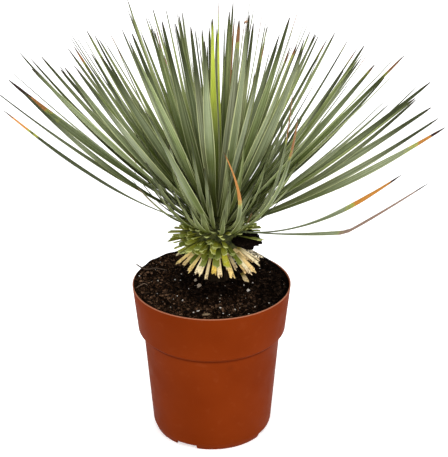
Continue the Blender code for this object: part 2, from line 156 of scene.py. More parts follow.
def turned(profile, steps):
    """A closed skin of (radius, height) points from axis to axis, turned round the upright axis."""
    shape = bmesh.new()
    rings = []
    for radius, height in profile:
        if radius < 1e-6:
            rings.append([shape.verts.new((0, 0, height))] * steps)
            continue
        turns = [tau * step / steps for step in range(steps)]
        rings.append([shape.verts.new((radius * cos(t), radius * sin(t), height)) for t in turns])
    skin(shape, rings)
    return shape


def settled(piece):
    """The piece with its modifiers worked into a plain mesh."""
    graph = bpy.context.evaluated_depsgraph_get()
    mesh = bpy.data.meshes.new_from_object(piece.evaluated_get(graph))
    piece.modifiers.clear()
    piece.data = mesh
    return piece


def smoothed(piece, crease_degrees):
    """The piece shaded smooth, apart from edges sharper than the crease."""
    for face in piece.data.polygons:
        face.use_smooth = True
    piece.data.set_sharp_from_angle(angle=radians(crease_degrees))
    return piece


def fitted(piece, node, finish=None):
    """The piece rides on the plant's one body, stands for a CAD node and takes the finish it is given, if
    any.
    """
    if finish:
        piece.data.materials.clear()
        piece.data.materials.append(finish)
    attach(piece, "root")
    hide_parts(node)


outer_wall = rounded((
    (rim_radius, pot_height, 0),
    (collar_foot_radius, collar_foot, 0.0035),
    (body_top_radius, step_foot, 0.0018),
    (body_foot_radius, heel_height, 0.010),
    (foot_radius, 0, 0),
))
floor_top = skirt_height + pot_wall
pad_top = pad_radius - pot_wall
inner_wall = [point for point in inset(outer_wall, pot_wall) if point[1] > floor_top + 0.002]
inner_wall[0] = (inner_wall[0][0], pot_height)
inner_wall += [(body_foot_radius - 2 * pot_wall, floor_top), (pad_top + pad_slope, floor_top)]
inner_wall += [(pad_top, pot_wall), (0, pot_wall)]
skirt_inner = foot_radius - skirt_wall
underside = [(skirt_inner, 0), (skirt_inner, skirt_height)]
underside += [(pad_radius + pad_slope, skirt_height), (pad_radius, 0), (0, 0)]
pot = laid_out("nursery_pot", turned([*reversed(inner_wall), *outer_wall, *underside], pot_steps))
water_ways = bpy.data.collections.new("water ways")
bpy.context.scene.collection.children.link(water_ways)
for number in range(foot_slots):
    slot = bmesh.new()
    bmesh.ops.create_cube(slot, size=1)
    place = Matrix.Rotation(foot_slot_turn + number * tau / foot_slots, 4, "Z")
    place = place @ Matrix.Translation((foot_radius, 0, 0))
    slot.transform(place @ Matrix.Diagonal((foot_slot_width, foot_slot_width, 2 * foot_slot_height, 1)))
    water_ways.objects.link(laid_out(f"slot_{number}", slot))
for number in range(drain_holes):
    hole = bmesh.new()
    bmesh.ops.create_cone(hole, cap_ends=True, segments=32, radius1=drain_radius, radius2=drain_radius,
                          depth=drain_depth)
    spot = away((number + 0.5) * tau / drain_holes, 0) * drain_ring_radius
    hole.transform(Matrix.Translation((spot.x, spot.y, skirt_height)))
    water_ways.objects.link(laid_out(f"hole_{number}", hole))
drilled = pot.modifiers.new("water ways", "BOOLEAN")
drilled.operation = "DIFFERENCE"
drilled.operand_type = "COLLECTION"
drilled.collection = water_ways
drilled.solver = "MANIFOLD"
softened = pot.modifiers.new("moulded edges", "BEVEL")
softened.width = moulded_edge
softened.segments = 2
softened.limit_method = "ANGLE"
softened.angle_limit = radians(50)
settled(pot)
for cutter in list(water_ways.objects):
    bpy.data.objects.remove(cutter)
bpy.data.collections.remove(water_ways)
smoothed(pot, 32)


def wired(kind, feeds, tree=None, out=0, **settings):
    """An output of a new node, which is set up and then fed with plain values or other nodes' outputs."""
    sources = [value for value in feeds.values() if isinstance(value, bpy.types.NodeSocket)]
    made = (tree or sources[0].id_data).nodes.new(kind)
    for name, value in settings.items():
        setattr(made, name, value)
    for name, value in feeds.items():
        if isinstance(value, bpy.types.NodeSocket):
            made.id_data.links.new(value, made.inputs[name])
        else:
            made.inputs[name].default_value = value
    return made.outputs[out]


def reckoned(operation, *values):
    """The result of a sum on one to three values."""
    return wired("ShaderNodeMath", dict(enumerate(values)), operation=operation)


def times(first, *others):
    """The product of some values."""
    for other in others:
        first = reckoned("MULTIPLY", first, other)
    return first


def less(first, second):
    """The first value less the second."""
    return reckoned("SUBTRACT", first, second)


def ranged(value, low, high, to_low=0.0, to_high=1.0):
    """A value moved from one range to another, and held inside it."""
    feeds = {"Value": value, "From Min": low, "From Max": high, "To Min": to_low, "To Max": to_high}
    return wired("ShaderNodeMapRange", feeds)


def apart(first, second):
    """The distance between two places."""
    return wired("ShaderNodeVectorMath", {0: first, 1: second}, out="Value", operation="DISTANCE")


def blended(share, first, second):
    """A colour between two colours, each a plain red, green and blue or another node's output."""
    first, second = [(*shade, 1.0) if isinstance(shade, tuple) else shade for shade in (first, second)]
    return wired("ShaderNodeMix", {0: share, 6: first, 7: second}, out=2, data_type="RGBA")


def painted(body, *coats):
    """A colour under some coats, each a mask, how strongly it covers, and its own colour."""
    for mask, strength, shade in coats:
        body = blended(mask if strength == 1 else times(mask, strength), body, shade)
    return body


def own_place(tree):
    """Places on the piece itself."""
    return wired("ShaderNodeTexCoord", {}, tree, "Object")


def marked(tree, name):
    """A value carried by the piece's own mesh."""
    return wired("ShaderNodeAttribute", {}, tree, "Fac", attribute_name=name)


def from_middle(tree):
    """How far across from the middle of the strap or leaf, 1 at its edges."""
    return reckoned("ABSOLUTE", marked(tree, "across"))


def start_group(kind, name, inputs):
    """A new group of nodes and its inputs, each named with its usual value or, in words, its kind."""
    group = bpy.data.node_groups.new(name, kind)
    for label, value in inputs.items():
        worded = isinstance(value, str)
        socket_kind = "NodeSocket" + (value if worded else type(value).__name__.title())
        socket = group.interface.new_socket(label, in_out="INPUT", socket_type=socket_kind)
        if not worded:
            socket.default_value = value
    return group, group.nodes.new("NodeGroupInput").outputs


def put_out(group, **results):
    """The end of a group of nodes, with its results under their names."""
    for label, value in results.items():
        group.interface.new_socket(label, in_out="OUTPUT", socket_type=value.bl_idname)
    leave = group.nodes.new("NodeGroupOutput")
    for label, value in results.items():
        group.links.new(value, leave.inputs[label])


def placed(tree, effect, **values):
    """An effect placed in a material with its own values."""
    return wired("ShaderNodeGroup", values, tree, node_tree=effect)


def start_finish(name, roughness, shine=0.12):
    """A new material with one shader, and its tree."""
    finish = bpy.data.materials.new(name)
    finish.use_nodes = True
    shader = finish.node_tree.nodes["Principled BSDF"]
    shader.inputs["Roughness"].default_value = roughness
    shader.inputs["Specular IOR Level"].default_value = shine
    return finish, finish.node_tree


def coated(tree, body, relief, strength, depth, roughness=None, invert=False):
    """The shader fed with its colour, its relief and, where it changes over the surface, its roughness."""
    shader = tree.nodes["Principled BSDF"]
    feeds = {"Height": relief, "Strength": strength, "Distance": depth}
    tree.links.new(wired("ShaderNodeBump", feeds, invert=invert), shader.inputs["Normal"])
    tree.links.new(body, shader.inputs["Base Color"])
    if roughness:
        tree.links.new(roughness, shader.inputs["Roughness"])


feeds = {"Size": 0.01, "Detail": 3.0, "From": 0.4, "To": 0.6}
mottle, given = start_group("ShaderNodeTree", "mottle", feeds)
fineness = reckoned("DIVIDE", 1.0, given["Size"])
feeds = {"Vector": own_place(mottle), "Scale": fineness, "Detail": given["Detail"]}
put_out(mottle, Mask=ranged(wired("ShaderNodeTexNoise", feeds), given["From"], given["To"]))


def mottled(tree, size, detail, low, high):
    """A mask of blotches of about a size, with softer rims where the range is wide."""
    return placed(tree, mottle, Size=size, Detail=detail, From=low, To=high)


plastic, tree = start_finish("terracotta plastic", 0.5, 0.015)
spot = own_place(tree)
height = wired("ShaderNodeSeparateXYZ", {"Vector": spot}, out="Z")
flow = mottled(tree, 0.07, 2.0, 0.3, 0.7)
scuffs = mottled(tree, 0.011, 8.0, 0.60, 0.74)
near_rim = ranged(height, pot_height - 0.030, pot_height - 0.002)
near_foot = ranged(height, 0.020, 0.0)
splash = times(mottled(tree, 0.004, 4.0, 0.60, 0.70), reckoned("MAXIMUM", near_rim, near_foot))
# Painted shade: a dark line along the foot of the step under the collar, and a soft darkening just below it,
# where shade falls under the collar
from_step = reckoned("ABSOLUTE", less(height, step_foot - 0.0006))
shoulder_shade = times(ranged(height, collar_foot + 0.001, step_foot),
                 ranged(height, step_foot - 0.0045, step_foot - 0.0005), 0.30)
step_shade = reckoned("MAXIMUM", ranged(from_step, 0.0026, 0.0004, 0.0, 0.70), shoulder_shade)
body = painted(
    blended(flow, (0.132, 0.0168, 0.0010), (0.156, 0.0214, 0.0018)),
    (scuffs, 0.10, (0.28, 0.07, 0.025)),
    (splash, 0.30, (0.07, 0.03, 0.015)),
    (step_shade, 1, (0.055, 0.0055, 0.0004)),
)
for mark_place, mark_reach in rubbed_spots:
    rubbed = times(ranged(apart(spot, mark_place), mark_reach, 0.3 * mark_reach), flow)
    body = painted(body, (rubbed, 0.35, (0.07, 0.012, 0.002)))
body = painted(body, (ranged(height, pot_height - 0.0011, pot_height - 0.0006), 0.8, (0.40, 0.16, 0.09)))
orange_peel = wired("ShaderNodeTexNoise", {"Vector": spot, "Scale": 900.0, "Detail": 2.0})
grip = ranged(mottled(tree, 0.02, 4.0, 0.35, 0.65), 0.0, 1.0, 0.44, 0.58)
coated(tree, body, orange_peel, 0.06, 0.0003, grip)
fitted(pot, "pot", plastic)

# Potting soil. The real one is dark moist peat with bark crumbs, fibres and white perlite, filled by hand:
# it sits well below the rim in front, and is heaped a little round the trunk and up to the rim at the back.
soil_edge_drop = 0.012
soil_below_rim = 0.0010
soil_tilt = 0.042
soil_tilt_turn = radians(112)
soil_mound = 0.015
soil_mound_spread = 0.050
soil_bump = 0.0016
soil_bump_scale = 62.0
soil_crumb = ((0.0016, 150), (0.0012, 340), (0.0007, 620))
trunk_x = 0.007
soil_gap = 0.0003
soil_rings = 96
soil_steps = 288


def soil_height(x, y):
    """Height of the soil's surface: a gentle mound that leans up to the back, with low lumps."""
    from_trunk = hypot(x - trunk_x, y)
    mound = soil_mound * exp(-((from_trunk / soil_mound_spread) ** 2))
    lumps = soil_bump * noise.noise(Vector((x, y, 0.37)) * soil_bump_scale)
    rise = soil_tilt * (x * cos(soil_tilt_turn) + y * sin(soil_tilt_turn))
    return pot_height - soil_below_rim + rise + mound + lumps


def crumbled(place, grains):
    """Fine relief at a place, from grains of several depths and finenesses."""
    return sum(depth * noise.noise(place * fineness) for depth, fineness in grains)


lining = inset(inner_wall, soil_gap)
level = pot_height - soil_edge_drop
wall_slope = (lining[0][0] - lining[1][0]) / (lining[0][1] - lining[1][1])
edge = lining[0][0] - wall_slope * (lining[0][1] - level)
surface = [(edge * ring / soil_rings, level) for ring in range(soil_rings + 1)]
side = [point for point in lining if point[1] < level]
soil_shape = turned([*surface, *side], soil_steps)
for vertex in soil_shape.verts:
    if abs(vertex.co.z - level) < soil_gap:
        radius = vertex.co.xy.length
        lift = soil_height(vertex.co.x, vertex.co.y) - level
        if radius > edge - soil_gap:
            vertex.co.xy *= 1 + wall_slope * lift / radius
        else:
            lift += crumbled(Vector((vertex.co.x, vertex.co.y, 0.0)), soil_crumb)
        vertex.co.z += lift
soil = smoothed(laid_out("potting_soil", soil_shape), 60)

# Painted shade: a mask that is low by the trunk, under the head, and towards the right, where the head's
# shadow falls, and never lower than Least. Pale grains and loose bits take it, and are darker where it is
# low.
head_shadow, given = start_group("ShaderNodeTree", "head_shadow", {"Least": 0.2})
spot = own_place(head_shadow)
from_trunk = apart(spot, (trunk_x, 0.0, pot_height + 0.028))
rightward = wired("ShaderNodeSeparateXYZ", {"Vector": spot}, out="X")
# Here dry means out of the painted shade: away from the trunk and off to the left
dry = reckoned("MINIMUM", ranged(from_trunk, 0.048, 0.080), ranged(rightward, 0.075, 0.020))
put_out(head_shadow, Mask=reckoned("MAXIMUM", dry, given["Least"]))

crumble, given = start_group("ShaderNodeTree", "peat crumble", {"Size": 0.002})
spot = own_place(crumble)
fineness = reckoned("DIVIDE", 1.0, given["Size"])
cloud = wired("ShaderNodeTexNoise", {"Vector": spot, "Scale": fineness, "Detail": 5.0, "Roughness": 0.65})
grains = wired("ShaderNodeTexVoronoi", {"Vector": spot, "Scale": fineness})
drift = wired("ShaderNodeTexNoise", {"Vector": spot, "Scale": times(fineness, 0.17), "Detail": 3.0})
# Pale grains, fewer by the trunk and on the right as painted shade from the head's shadow mask
light = times(ranged(cloud, 0.47, 0.70), ranged(drift, 0.38, 0.66, 0.15, 1.0),
              placed(crumble, head_shadow, Least=0.15))
put_out(crumble, Light=light, Height=less(cloud, times(grains, 0.6)))


def peat_finish(name, size, dark, pale):
    """Moist peat: near-black grains with paler dry ones, fewer as painted shade by the trunk and on the
    right; rough, with a broken surface.
    """
    finish, tree = start_finish(name, 0.9, 0.01)
    light = placed(tree, crumble, Size=size)
    damp = ranged(mottled(tree, 0.003, 3.0, 0.50, 0.62), 0.0, 1.0, 0.92, 0.55)
    coated(tree, blended(light, dark, pale), light.node.outputs["Height"], 0.9, 0.0012, damp)
    return finish


moist_peat = peat_finish("moist peat", 0.0022, (0.0012, 0.0006, 0.0003), (0.138, 0.068, 0.035))
fitted(soil, "soil", moist_peat)

# Loose bits. Crumbs of peat and bark, perlite, fibres, pale stones and twigs lie on the soil where they fell
# when the pot was filled. Each is pressed a little into it, and all are the same kinds as in the mix.
patch_rings = 40
patch_steps = 120
patch_hole = 0.016
wall_clearance = 0.0035


def grown(name, base, tree, **values):
    """The piece that a tree of geometry nodes grows from a base mesh, as a plain mesh."""
    piece = set_out(name, base)
    growth = piece.modifiers.new(tree.name, "NODES")
    growth.node_group = tree
    for item in tree.interface.items_tree:
        if item.in_out == "INPUT" and item.name.replace(" ", "_") in values:
            growth[item.identifier] = values[item.name.replace(" ", "_")]
    return settled(piece)


def grown_out(geometry, finish):
    """The end of a tree: copies become real faces, and take their finish."""
    real = wired("GeometryNodeRealizeInstances", {"Geometry": geometry})
    put_out(real.id_data, Piece=wired("GeometryNodeSetMaterial", {"Geometry": real, "Material": finish}))


def start_growth(name, sizes):
    """A new tree of geometry nodes with its named sizes, and what comes in."""
    return start_group("GeometryNodeTree", name, {"Base": "Geometry", **sizes, "Finish": "Material"})


def chance(seed, low=0.0, high=1.0, step=0):
    """A random value for each point, from the tree's own seed and a step that keeps two draws apart."""
    return wired("FunctionNodeRandomValue", {2: low, 3: high, 8: reckoned("ADD", seed, float(step))}, out=1)


def vector_of(x, y, z):
    """Three values as one vector."""
    return wired("ShaderNodeCombineXYZ", {"X": x, "Y": y, "Z": z})


def stored(geometry, name, value, **settings):
    """The geometry with a named value kept on it."""
    feeds = {"Geometry": geometry, "Name": name, "Value": value}
    return wired("GeometryNodeStoreNamedAttribute", feeds, **settings)


def kept(tree, *names, **settings):
    """The named values kept on a tree's geometry."""
    return [wired("GeometryNodeInputNamedAttribute", {"Name": name}, tree, **settings) for name in names]


def strewn(given):
    """Points strewn over the base, each with its own tone."""
    feeds = {"Mesh": given["Base"], "Density": given["Number per square metre"], "Seed": given["Seed"]}
    return stored(wired("GeometryNodeDistributePointsOnFaces", feeds), "tone", chance(given["Seed"], step=2))


def set_down(points, shape, euler, scale):
    """A copy of the shape at each point, turned and stretched."""
    turning = wired("FunctionNodeEulerToRotation", {"Euler": euler})
    feeds = {"Points": points, "Instance": shape, "Rotation": turning, "Scale": scale}
    copies = wired("GeometryNodeInstanceOnPoints", feeds)
    return wired("GeometryNodeRealizeInstances", {"Geometry": copies})


def tumbled(seed, first_lean, second_lean):
    """Each point's own leans, up to the two given, and its own turn."""
    return vector_of(chance(seed, -first_lean, first_lean, 3), chance(seed, -second_lean, second_lean, 4),
                     chance(seed, 0.0, tau, 5))


def roughened(geometry, fineness, reach):
    """The geometry pushed about by soft noise."""
    here = wired("GeometryNodeInputPosition", {}, geometry.id_data)
    cloud = wired("ShaderNodeTexNoise", {"Vector": here, "Scale": fineness, "Detail": 1.0}, out="Color")
    push = wired("ShaderNodeVectorMath", {0: cloud, 1: (0.5, 0.5, 0.5)}, operation="SUBTRACT")
    push = wired("ShaderNodeVectorMath", {0: push, "Scale": reach}, operation="SCALE")
    return wired("GeometryNodeSetPosition", {"Geometry": geometry, "Offset": push})


scatter, given = start_growth("scatter crumbs", {
    "Number per square metre": 1000.0, "Smallest": 0.0005, "Largest": 0.002, "Flatness": 0.7,
    "Roughness": 0.3, "Seed": 1,
})
seed = given["Seed"]
rarity = reckoned("POWER", chance(seed, step=1), 2.5)
own_size = reckoned("MULTIPLY_ADD", rarity, less(given["Largest"], given["Smallest"]), given["Smallest"])
points = stored(strewn(given), "size", own_size)
lump = wired("GeometryNodeMeshIcoSphere", {"Radius": 0.5, "Subdivisions": 1}, scatter)
[size] = kept(scatter, "size")
stretch = vector_of(times(size, chance(seed, 0.8, 1.5, 6)), size, times(size, given["Flatness"]))
crumbs = set_down(points, lump, tumbled(seed, 0.5, 0.5), stretch)
grown_out(roughened(crumbs, 700.0, times(size, given["Roughness"])), given["Finish"])


def surface_at(x, y):
    """Height of the soil with its crumb."""
    return soil_height(x, y) + crumbled(Vector((x, y, 0.0)), soil_crumb)


def soil_patch():
    """The soil's upper face alone, clear of the pot's wall and the trunk, for loose bits to lie on."""
    shape = bmesh.new()
    rings = []
    for ring in range(patch_rings + 1):
        radius = patch_hole + (edge - wall_clearance - patch_hole) * ring / patch_rings
        rings.append([])
        for step in range(patch_steps):
            x = trunk_x * (1 - ring / patch_rings) + radius * cos(tau * step / patch_steps)
            y = radius * sin(tau * step / patch_steps)
            rings[-1].append(shape.verts.new((x, y, surface_at(x, y))))
    skin(shape, rings)
    patch = bpy.data.meshes.new("soil patch")
    shape.to_mesh(patch)
    shape.free()
    return patch


def tone_finish(name, dark, pale, pale_from, roughness, least_dry=0.12):
    """Loose bits whose colour runs from dark to pale by each bit's own tone, darker by the trunk and on the
    right as painted shade.
    """
    finish, tree = start_finish(name, roughness, 0.04)
    # Painted shade: the pale share is cut by the head's shadow mask, no lower than the given least
    share = times(ranged(marked(tree, "tone"), pale_from, 1.0), placed(tree, head_shadow, Least=least_dry))
    grain = mottled(tree, 0.0012, 3.0, 0.35, 0.65)
    body = painted(blended(share, dark, pale), (grain, 0.45, (0.010, 0.006, 0.004)))
    coated(tree, body, grain, 0.5, 0.0004)
    return finish


peat_crumb = tone_finish("peat crumb", (0.0026, 0.0013, 0.0008), (0.175, 0.097, 0.056), 0.50, 0.9)
bark_chip = tone_finish("bark chip", (0.018, 0.009, 0.005), (0.27, 0.155, 0.09), 0.25, 0.8)
perlite = tone_finish("perlite", (0.55, 0.53, 0.49), (0.86, 0.85, 0.82), 0.0, 0.85, 0.7)
# Name, finish, number per square metre, smallest and largest size, flatness, roughness and seed
loose_bits = (
    ("peat_crumbs", peat_crumb, 105000.0, 0.0009, 0.0042, 0.75, 0.9, 21),
    ("bark_chips", bark_chip, 9000.0, 0.0012, 0.0056, 0.45, 0.7, 22),
    ("perlite", perlite, 2600.0, 0.0006, 0.0024, 0.8, 0.6, 23),
)
for name, finish, number, smallest, largest, flatness, roughness, seed in loose_bits:
    bits = grown(name, soil_patch(), scatter, Number_per_square_metre=number, Smallest=smallest,
                 Largest=largest, Flatness=flatness, Roughness=roughness, Seed=seed, Finish=finish)
    fitted(bits, "soil")

threads, given = start_growth("scatter fibres", {
    "Number per square metre": 1000.0, "Shortest": 0.004, "Longest": 0.014, "Thickness": 0.0002, "Seed": 1,
})
feeds = {"Resolution": 6, "Start": (-0.5, 0.0, -0.02), "Middle": (0.0, 0.22, 0.14), "End": (0.5, 0.0, -0.02)}
thread = wired("GeometryNodeCurveQuadraticBezier", feeds, threads)
span = less(given["Longest"], given["Shortest"])
length = reckoned("MULTIPLY_ADD", chance(given["Seed"], step=6), span, given["Shortest"])
stretch = vector_of(length, length, length)
strands = set_down(strewn(given), thread, tumbled(given["Seed"], 1.2, 0.3), stretch)
section = wired("GeometryNodeCurvePrimitiveCircle", {"Resolution": 3, "Radius": given["Thickness"]})
feeds = {"Curve": strands, "Profile Curve": section, "Fill Caps": True}
grown_out(wired("GeometryNodeCurveToMesh", feeds), given["Finish"])

peat_fibre = tone_finish("peat fibre", (0.030, 0.017, 0.010), (0.19, 0.12, 0.07), 0.3, 0.8)
fibres = grown("peat_fibres", soil_patch(), threads, Number_per_square_metre=11000.0, Shortest=0.003,
               Longest=0.012, Thickness=0.00022, Seed=24, Finish=peat_fibre)
fitted(fibres, "soil")


def point_cloud(name, rows):
    """A mesh of loose points at the rows' places, which carry each row's other named values."""
    mesh = bpy.data.meshes.new(name)
    mesh.vertices.add(len(rows))
    mesh.vertices.foreach_set("co", [value for row in rows for value in row["place"]])
    for key in rows[0]:
        if key != "place":
            values = mesh.attributes.new(key, "FLOAT", "POINT")
            values.data.foreach_set("value", [float(row[key]) for row in rows])
    return mesh


lumps, given = start_growth("set down lumps", {"Roughness": 0.3, "Grain": 350.0})
length, width, height, turn = kept(lumps, "length", "width", "height", "turn")
lump = wired("GeometryNodeMeshIcoSphere", {"Radius": 0.5, "Subdivisions": 3}, lumps)
stones = set_down(given["Base"], lump, vector_of(0.0, 0.0, turn), vector_of(length, width, height))
grown_out(roughened(stones, given["Grain"], times(height, given["Roughness"])), given["Finish"])

# Each as x, y, length, width and height in millimetres, the turn in degrees, and the tone (1 is white)
lying_stones = (
    (-16.5, -27.8, 6.0, 5.0, 7.0, 20, 0.32), (-21.2, -14.5, 4.2, 3.4, 4.0, 70, 0.35),
    (47.7, -31.7, 5.0, 3.8, 3.8, 30, 1.00), (-17.3, -77.1, 4.4, 1.8, 1.8, 10, 0.75),
    (-23.2, -81.8, 2.2, 1.8, 1.8, 0, 0.60), (-71.2, 1.2, 2.6, 2.2, 2.2, 50, 0.40),
    (29.7, -73.6, 2.4, 2.0, 2.0, 80, 0.50), (-37.6, -52.0, 2.4, 2.0, 2.2, 15, 0.65),
    (10.7, -51.0, 2.2, 1.8, 1.8, 40, 0.50), (12.1, -45.9, 2.0, 1.6, 1.6, 0, 0.45),
    (-7.3, -83.3, 11.0, 5.0, 2.0, 12, 0.06), (31.0, 61.0, 4.0, 3.2, 3.0, 35, 0.80),
    (11.1, -72.0, 2.6, 2.2, 2.2, 25, 0.55), (36.9, -87.0, 2.4, 2.0, 2.0, 60, 0.65),
    (47.0, -82.0, 2.4, 2.0, 2.0, 5, 0.55), (55.3, -65.0, 2.4, 1.8, 2.0, 70, 0.45),
)
stone_rows = []
for x, y, length, width, height, turn, tone in lying_stones:
    x, y = x / 1000, y / 1000
    stone_rows.append({
        "place": (x, y, surface_at(x, y) + 0.0003 * height), "length": length / 1000, "width": width / 1000,
        "height": height / 1000, "turn": radians(turn), "tone": tone,
    })
pale_stone = tone_finish("pale stone", (0.22, 0.145, 0.070), (0.92, 0.90, 0.86), 0.0, 0.85, 0.55)
stone_points = point_cloud("pale_stones", stone_rows)
stones = grown("pale_stones", stone_points, lumps, Roughness=0.5, Finish=pale_stone)
fitted(stones, "soil")

stems, given = start_growth("draw out twigs", {"Sides": 8, "Steps": 36, "Knots": 0.35})
line = wired("GeometryNodeMeshToCurve", {"Mesh": given["Base"]})
line = wired("GeometryNodeCurveSplineType", {"Curve": line}, spline_type="CATMULL_ROM")
line = wired("GeometryNodeResampleCurve", {"Curve": line, "Count": given["Steps"]})
here = wired("GeometryNodeInputPosition", {}, stems)
knots = wired("ShaderNodeTexNoise", {"Vector": here, "Scale": 260.0, "Detail": 2.0})
swell = reckoned("MULTIPLY_ADD", knots, times(given["Knots"], 2.0), less(1.0, given["Knots"]))
[thickness] = kept(stems, "thickness")
section = wired("GeometryNodeCurvePrimitiveCircle", {"Resolution": given["Sides"], "Radius": 1.0})
feeds = {"Curve": line, "Profile Curve": section, "Scale": times(thickness, swell), "Fill Caps": True}
grown_out(wired("GeometryNodeCurveToMesh", feeds), given["Finish"])


def bent_lines(name, lines):
    """A mesh of bent lines, each a tone and its (x, y, z, thickness) points."""
    points = [(*point, tone) for tone, line in lines for point in line]
    edges, first = [], 0
    for _, line in lines:
        edges += [(first + step, first + step + 1) for step in range(len(line) - 1)]
        first += len(line)
    mesh = bpy.data.meshes.new(name)
    mesh.from_pydata([point[:3] for point in points], edges, [])
    for column, key in ((3, "thickness"), (4, "tone")):
        values = mesh.attributes.new(key, "FLOAT", "POINT")
        values.data.foreach_set("value", [point[column] for point in points])
    return mesh


# Each as its tone and the points of (x, y, height above the soil, thickness) in millimetres
lying_twigs = (
    (0.35, ((-101.8, 43.9, 2.6, 0.8), (-96.9, 39.4, 1.8, 1.0), (-90.0, 34.7, 1.0, 1.1),
            (-84.5, 33.5, 1.2, 1.0), (-77.8, 35.6, 1.8, 1.0), (-69.7, 34.1, 1.6, 0.9),
            (-60.1, 29.6, 0.2, 0.6))),
    (0.75, ((-98.6, -15.7, 0.2, 0.5), (-93.4, -12.4, 2.2, 0.6), (-88.5, -10.0, 2.6, 0.6),
            (-84.6, -11.7, 0.6, 0.5))),
    (0.45, ((38.0, 70.0, 0.6, 0.5), (47.0, 66.0, 1.8, 0.7), (58.0, 66.0, 1.6, 0.7), (66.0, 60.0, 0.3, 0.5))),
    (0.60, ((-30.0, 74.0, 0.2, 0.4), (-24.0, 79.0, 2.0, 0.5), (-14.0, 80.0, 1.2, 0.5))),
)
twig_lines = []
for tone, points in lying_twigs:
    line = [(x / 1000, y / 1000, soil_height(x / 1000, y / 1000) + above / 1000, thick / 1000)
            for x, y, above, thick in points]
    twig_lines.append((tone, line))
twig_bark = tone_finish("twig bark", (0.026, 0.016, 0.011), (0.22, 0.155, 0.11), 0.0, 0.85)
twigs = smoothed(grown("lying_twigs", bent_lines("lying_twigs", twig_lines), stems, Finish=twig_bark), 50)
fitted(twigs, "soil")

# Trunk. The real stem is woody, as thick as a broom handle, and hidden in the shade under the cut bases. It
# stands buried in the soil and carries the leaf bases that were cut back with shears.
head_height = pot_height + 0.075
head_centre = Vector((trunk_x, 0, head_height))
trunk_radius = 0.0220
trunk_buried = 0.060
trunk_neck_drop = 0.040
dry_core_radius = 0.031
green_core_radius = 0.035
crown_core_radius = 0.029
cut_root_radius = 0.0265
shoulder_slope = -26
shoulder_span = 30
shoulder_steps = 8
neck_rings = 30
bark_ridge_depth = 0.0011
bark_ring_depth = 0.0007

trunk_outline = [(0, head_height - 0.004)]
for step in range(shoulder_steps + 1):
    slope = radians(shoulder_slope - shoulder_span * step / shoulder_steps)
    trunk_outline.append((dry_core_radius * cos(slope), head_height + dry_core_radius * sin(slope)))
for step in range(neck_rings + 1):
    share = step / neck_rings
    drop = trunk_neck_drop + (trunk_buried + 0.028) * share
    trunk_outline.append((trunk_radius - 0.001 * (1 - share), head_height - drop))
trunk_outline += [(0.7 * trunk_radius, pot_height - trunk_buried), (0, pot_height - trunk_buried)]
stem_shape = turned(trunk_outline, 96)
for vertex in stem_shape.verts:
    spoke = vertex.co.xy.length
    if spoke > 0.001:
        turn = atan2(vertex.co.y, vertex.co.x)
        ridges = noise.noise(Vector((cos(turn) * 5, sin(turn) * 5, vertex.co.z * 45)))
        rings = noise.noise(Vector((cos(turn), sin(turn), vertex.co.z * 330)))
        vertex.co.xy *= 1 + (bark_ridge_depth * ridges + bark_ring_depth * rings) / spoke
    vertex.co.x += trunk_x
stem = smoothed(laid_out("woody_stem", stem_shape), 70)

# The bark is painted near-black: partly the stem's own dark colour, partly painted shade for the shade under
# the cut bases
bark, tree = start_finish("stem bark", 0.9, 0.01)
upright = wired("ShaderNodeMapping", {"Vector": own_place(tree), "Scale": (420.0, 420.0, 60.0)})
strips = wired("ShaderNodeTexNoise", {"Vector": upright, "Scale": 1.0, "Detail": 4.0})
flakes = mottled(tree, 0.004, 5.0, 0.45, 0.65)
body = blended(ranged(strips, 0.35, 0.65), (0.0012, 0.0007, 0.0004), (0.012, 0.008, 0.005))
coated(tree, painted(body, (flakes, 0.4, (0.032, 0.020, 0.012))), strips, 0.8, 0.0012)
fitted(stem, "trunk_dry_leaf_bases", bark)

# Cut leaf bases. Each real one is the foot of a leaf, a tough strap with thin edges that clasps the stem and
# ends where the shears went through. The lowest have dried to straw, the upper ones are still green.

# Rows of bases, each as its slope in degrees, their number and their reach
dry_rows = ((-55, 8, 0.054), (-45, 13, 0.059), (-36, 21, 0.066))
green_rows = ((-20.5, 22, 0.054), (-13, 24, 0.054), (-6, 26, 0.060), (0, 24, 0.053))
crown_rows = ((17, 20, 0.047),)
sheath_rows = ((8, 22, 0.050), (25, 16, 0.0450))
cut_width = 0.0082
cut_thickness = 0.0030
cut_length_spread = 0.0060
cut_angle_spread = 2.2
cut_roll_spread = 32.0
cut_seed = 11
strap_columns = 7
strap_stations = 9
clod_turns = (radians(-56), radians(-6))
clod_slopes = (radians(-18), radians(4))
clod_turn_margin = radians(8)
clod_slope_margin = radians(6)
ripe_spot_width = radians(7)
strap_foot_width = 0.72
strap_cap_width = 0.10
strap_half_thickness = 0.34


def in_clod(turn, slope):
    """Whether a cut base would stand where the clod of soil sits."""
    turn = (turn + pi) % tau - pi
    return (
        clod_turns[0] - clod_turn_margin < turn < clod_turns[1] + clod_turn_margin
        and clod_slopes[0] - clod_slope_margin < slope < clod_slopes[1] + clod_slope_margin
    )


def cut_places(rows, draw):
    """Every cut base of some rows, as (turn, slope, roll, reach)."""
    places = []
    for row, (slope_degrees, count, reach) in enumerate(rows):
        for number in range(count):
            turn = (number + 0.5 * (row % 2)) * tau / count
            turn += radians(draw.gauss(0, 2 * cut_angle_spread))
            slope = radians(slope_degrees + draw.uniform(-1, 1) * cut_angle_spread)
            roll = radians(draw.uniform(-1, 1) * cut_roll_spread)
            places.append((turn, slope, roll, reach + draw.uniform(-1, 1) * cut_length_spread))
    return [place for place in places if not in_clod(*place[:2])]


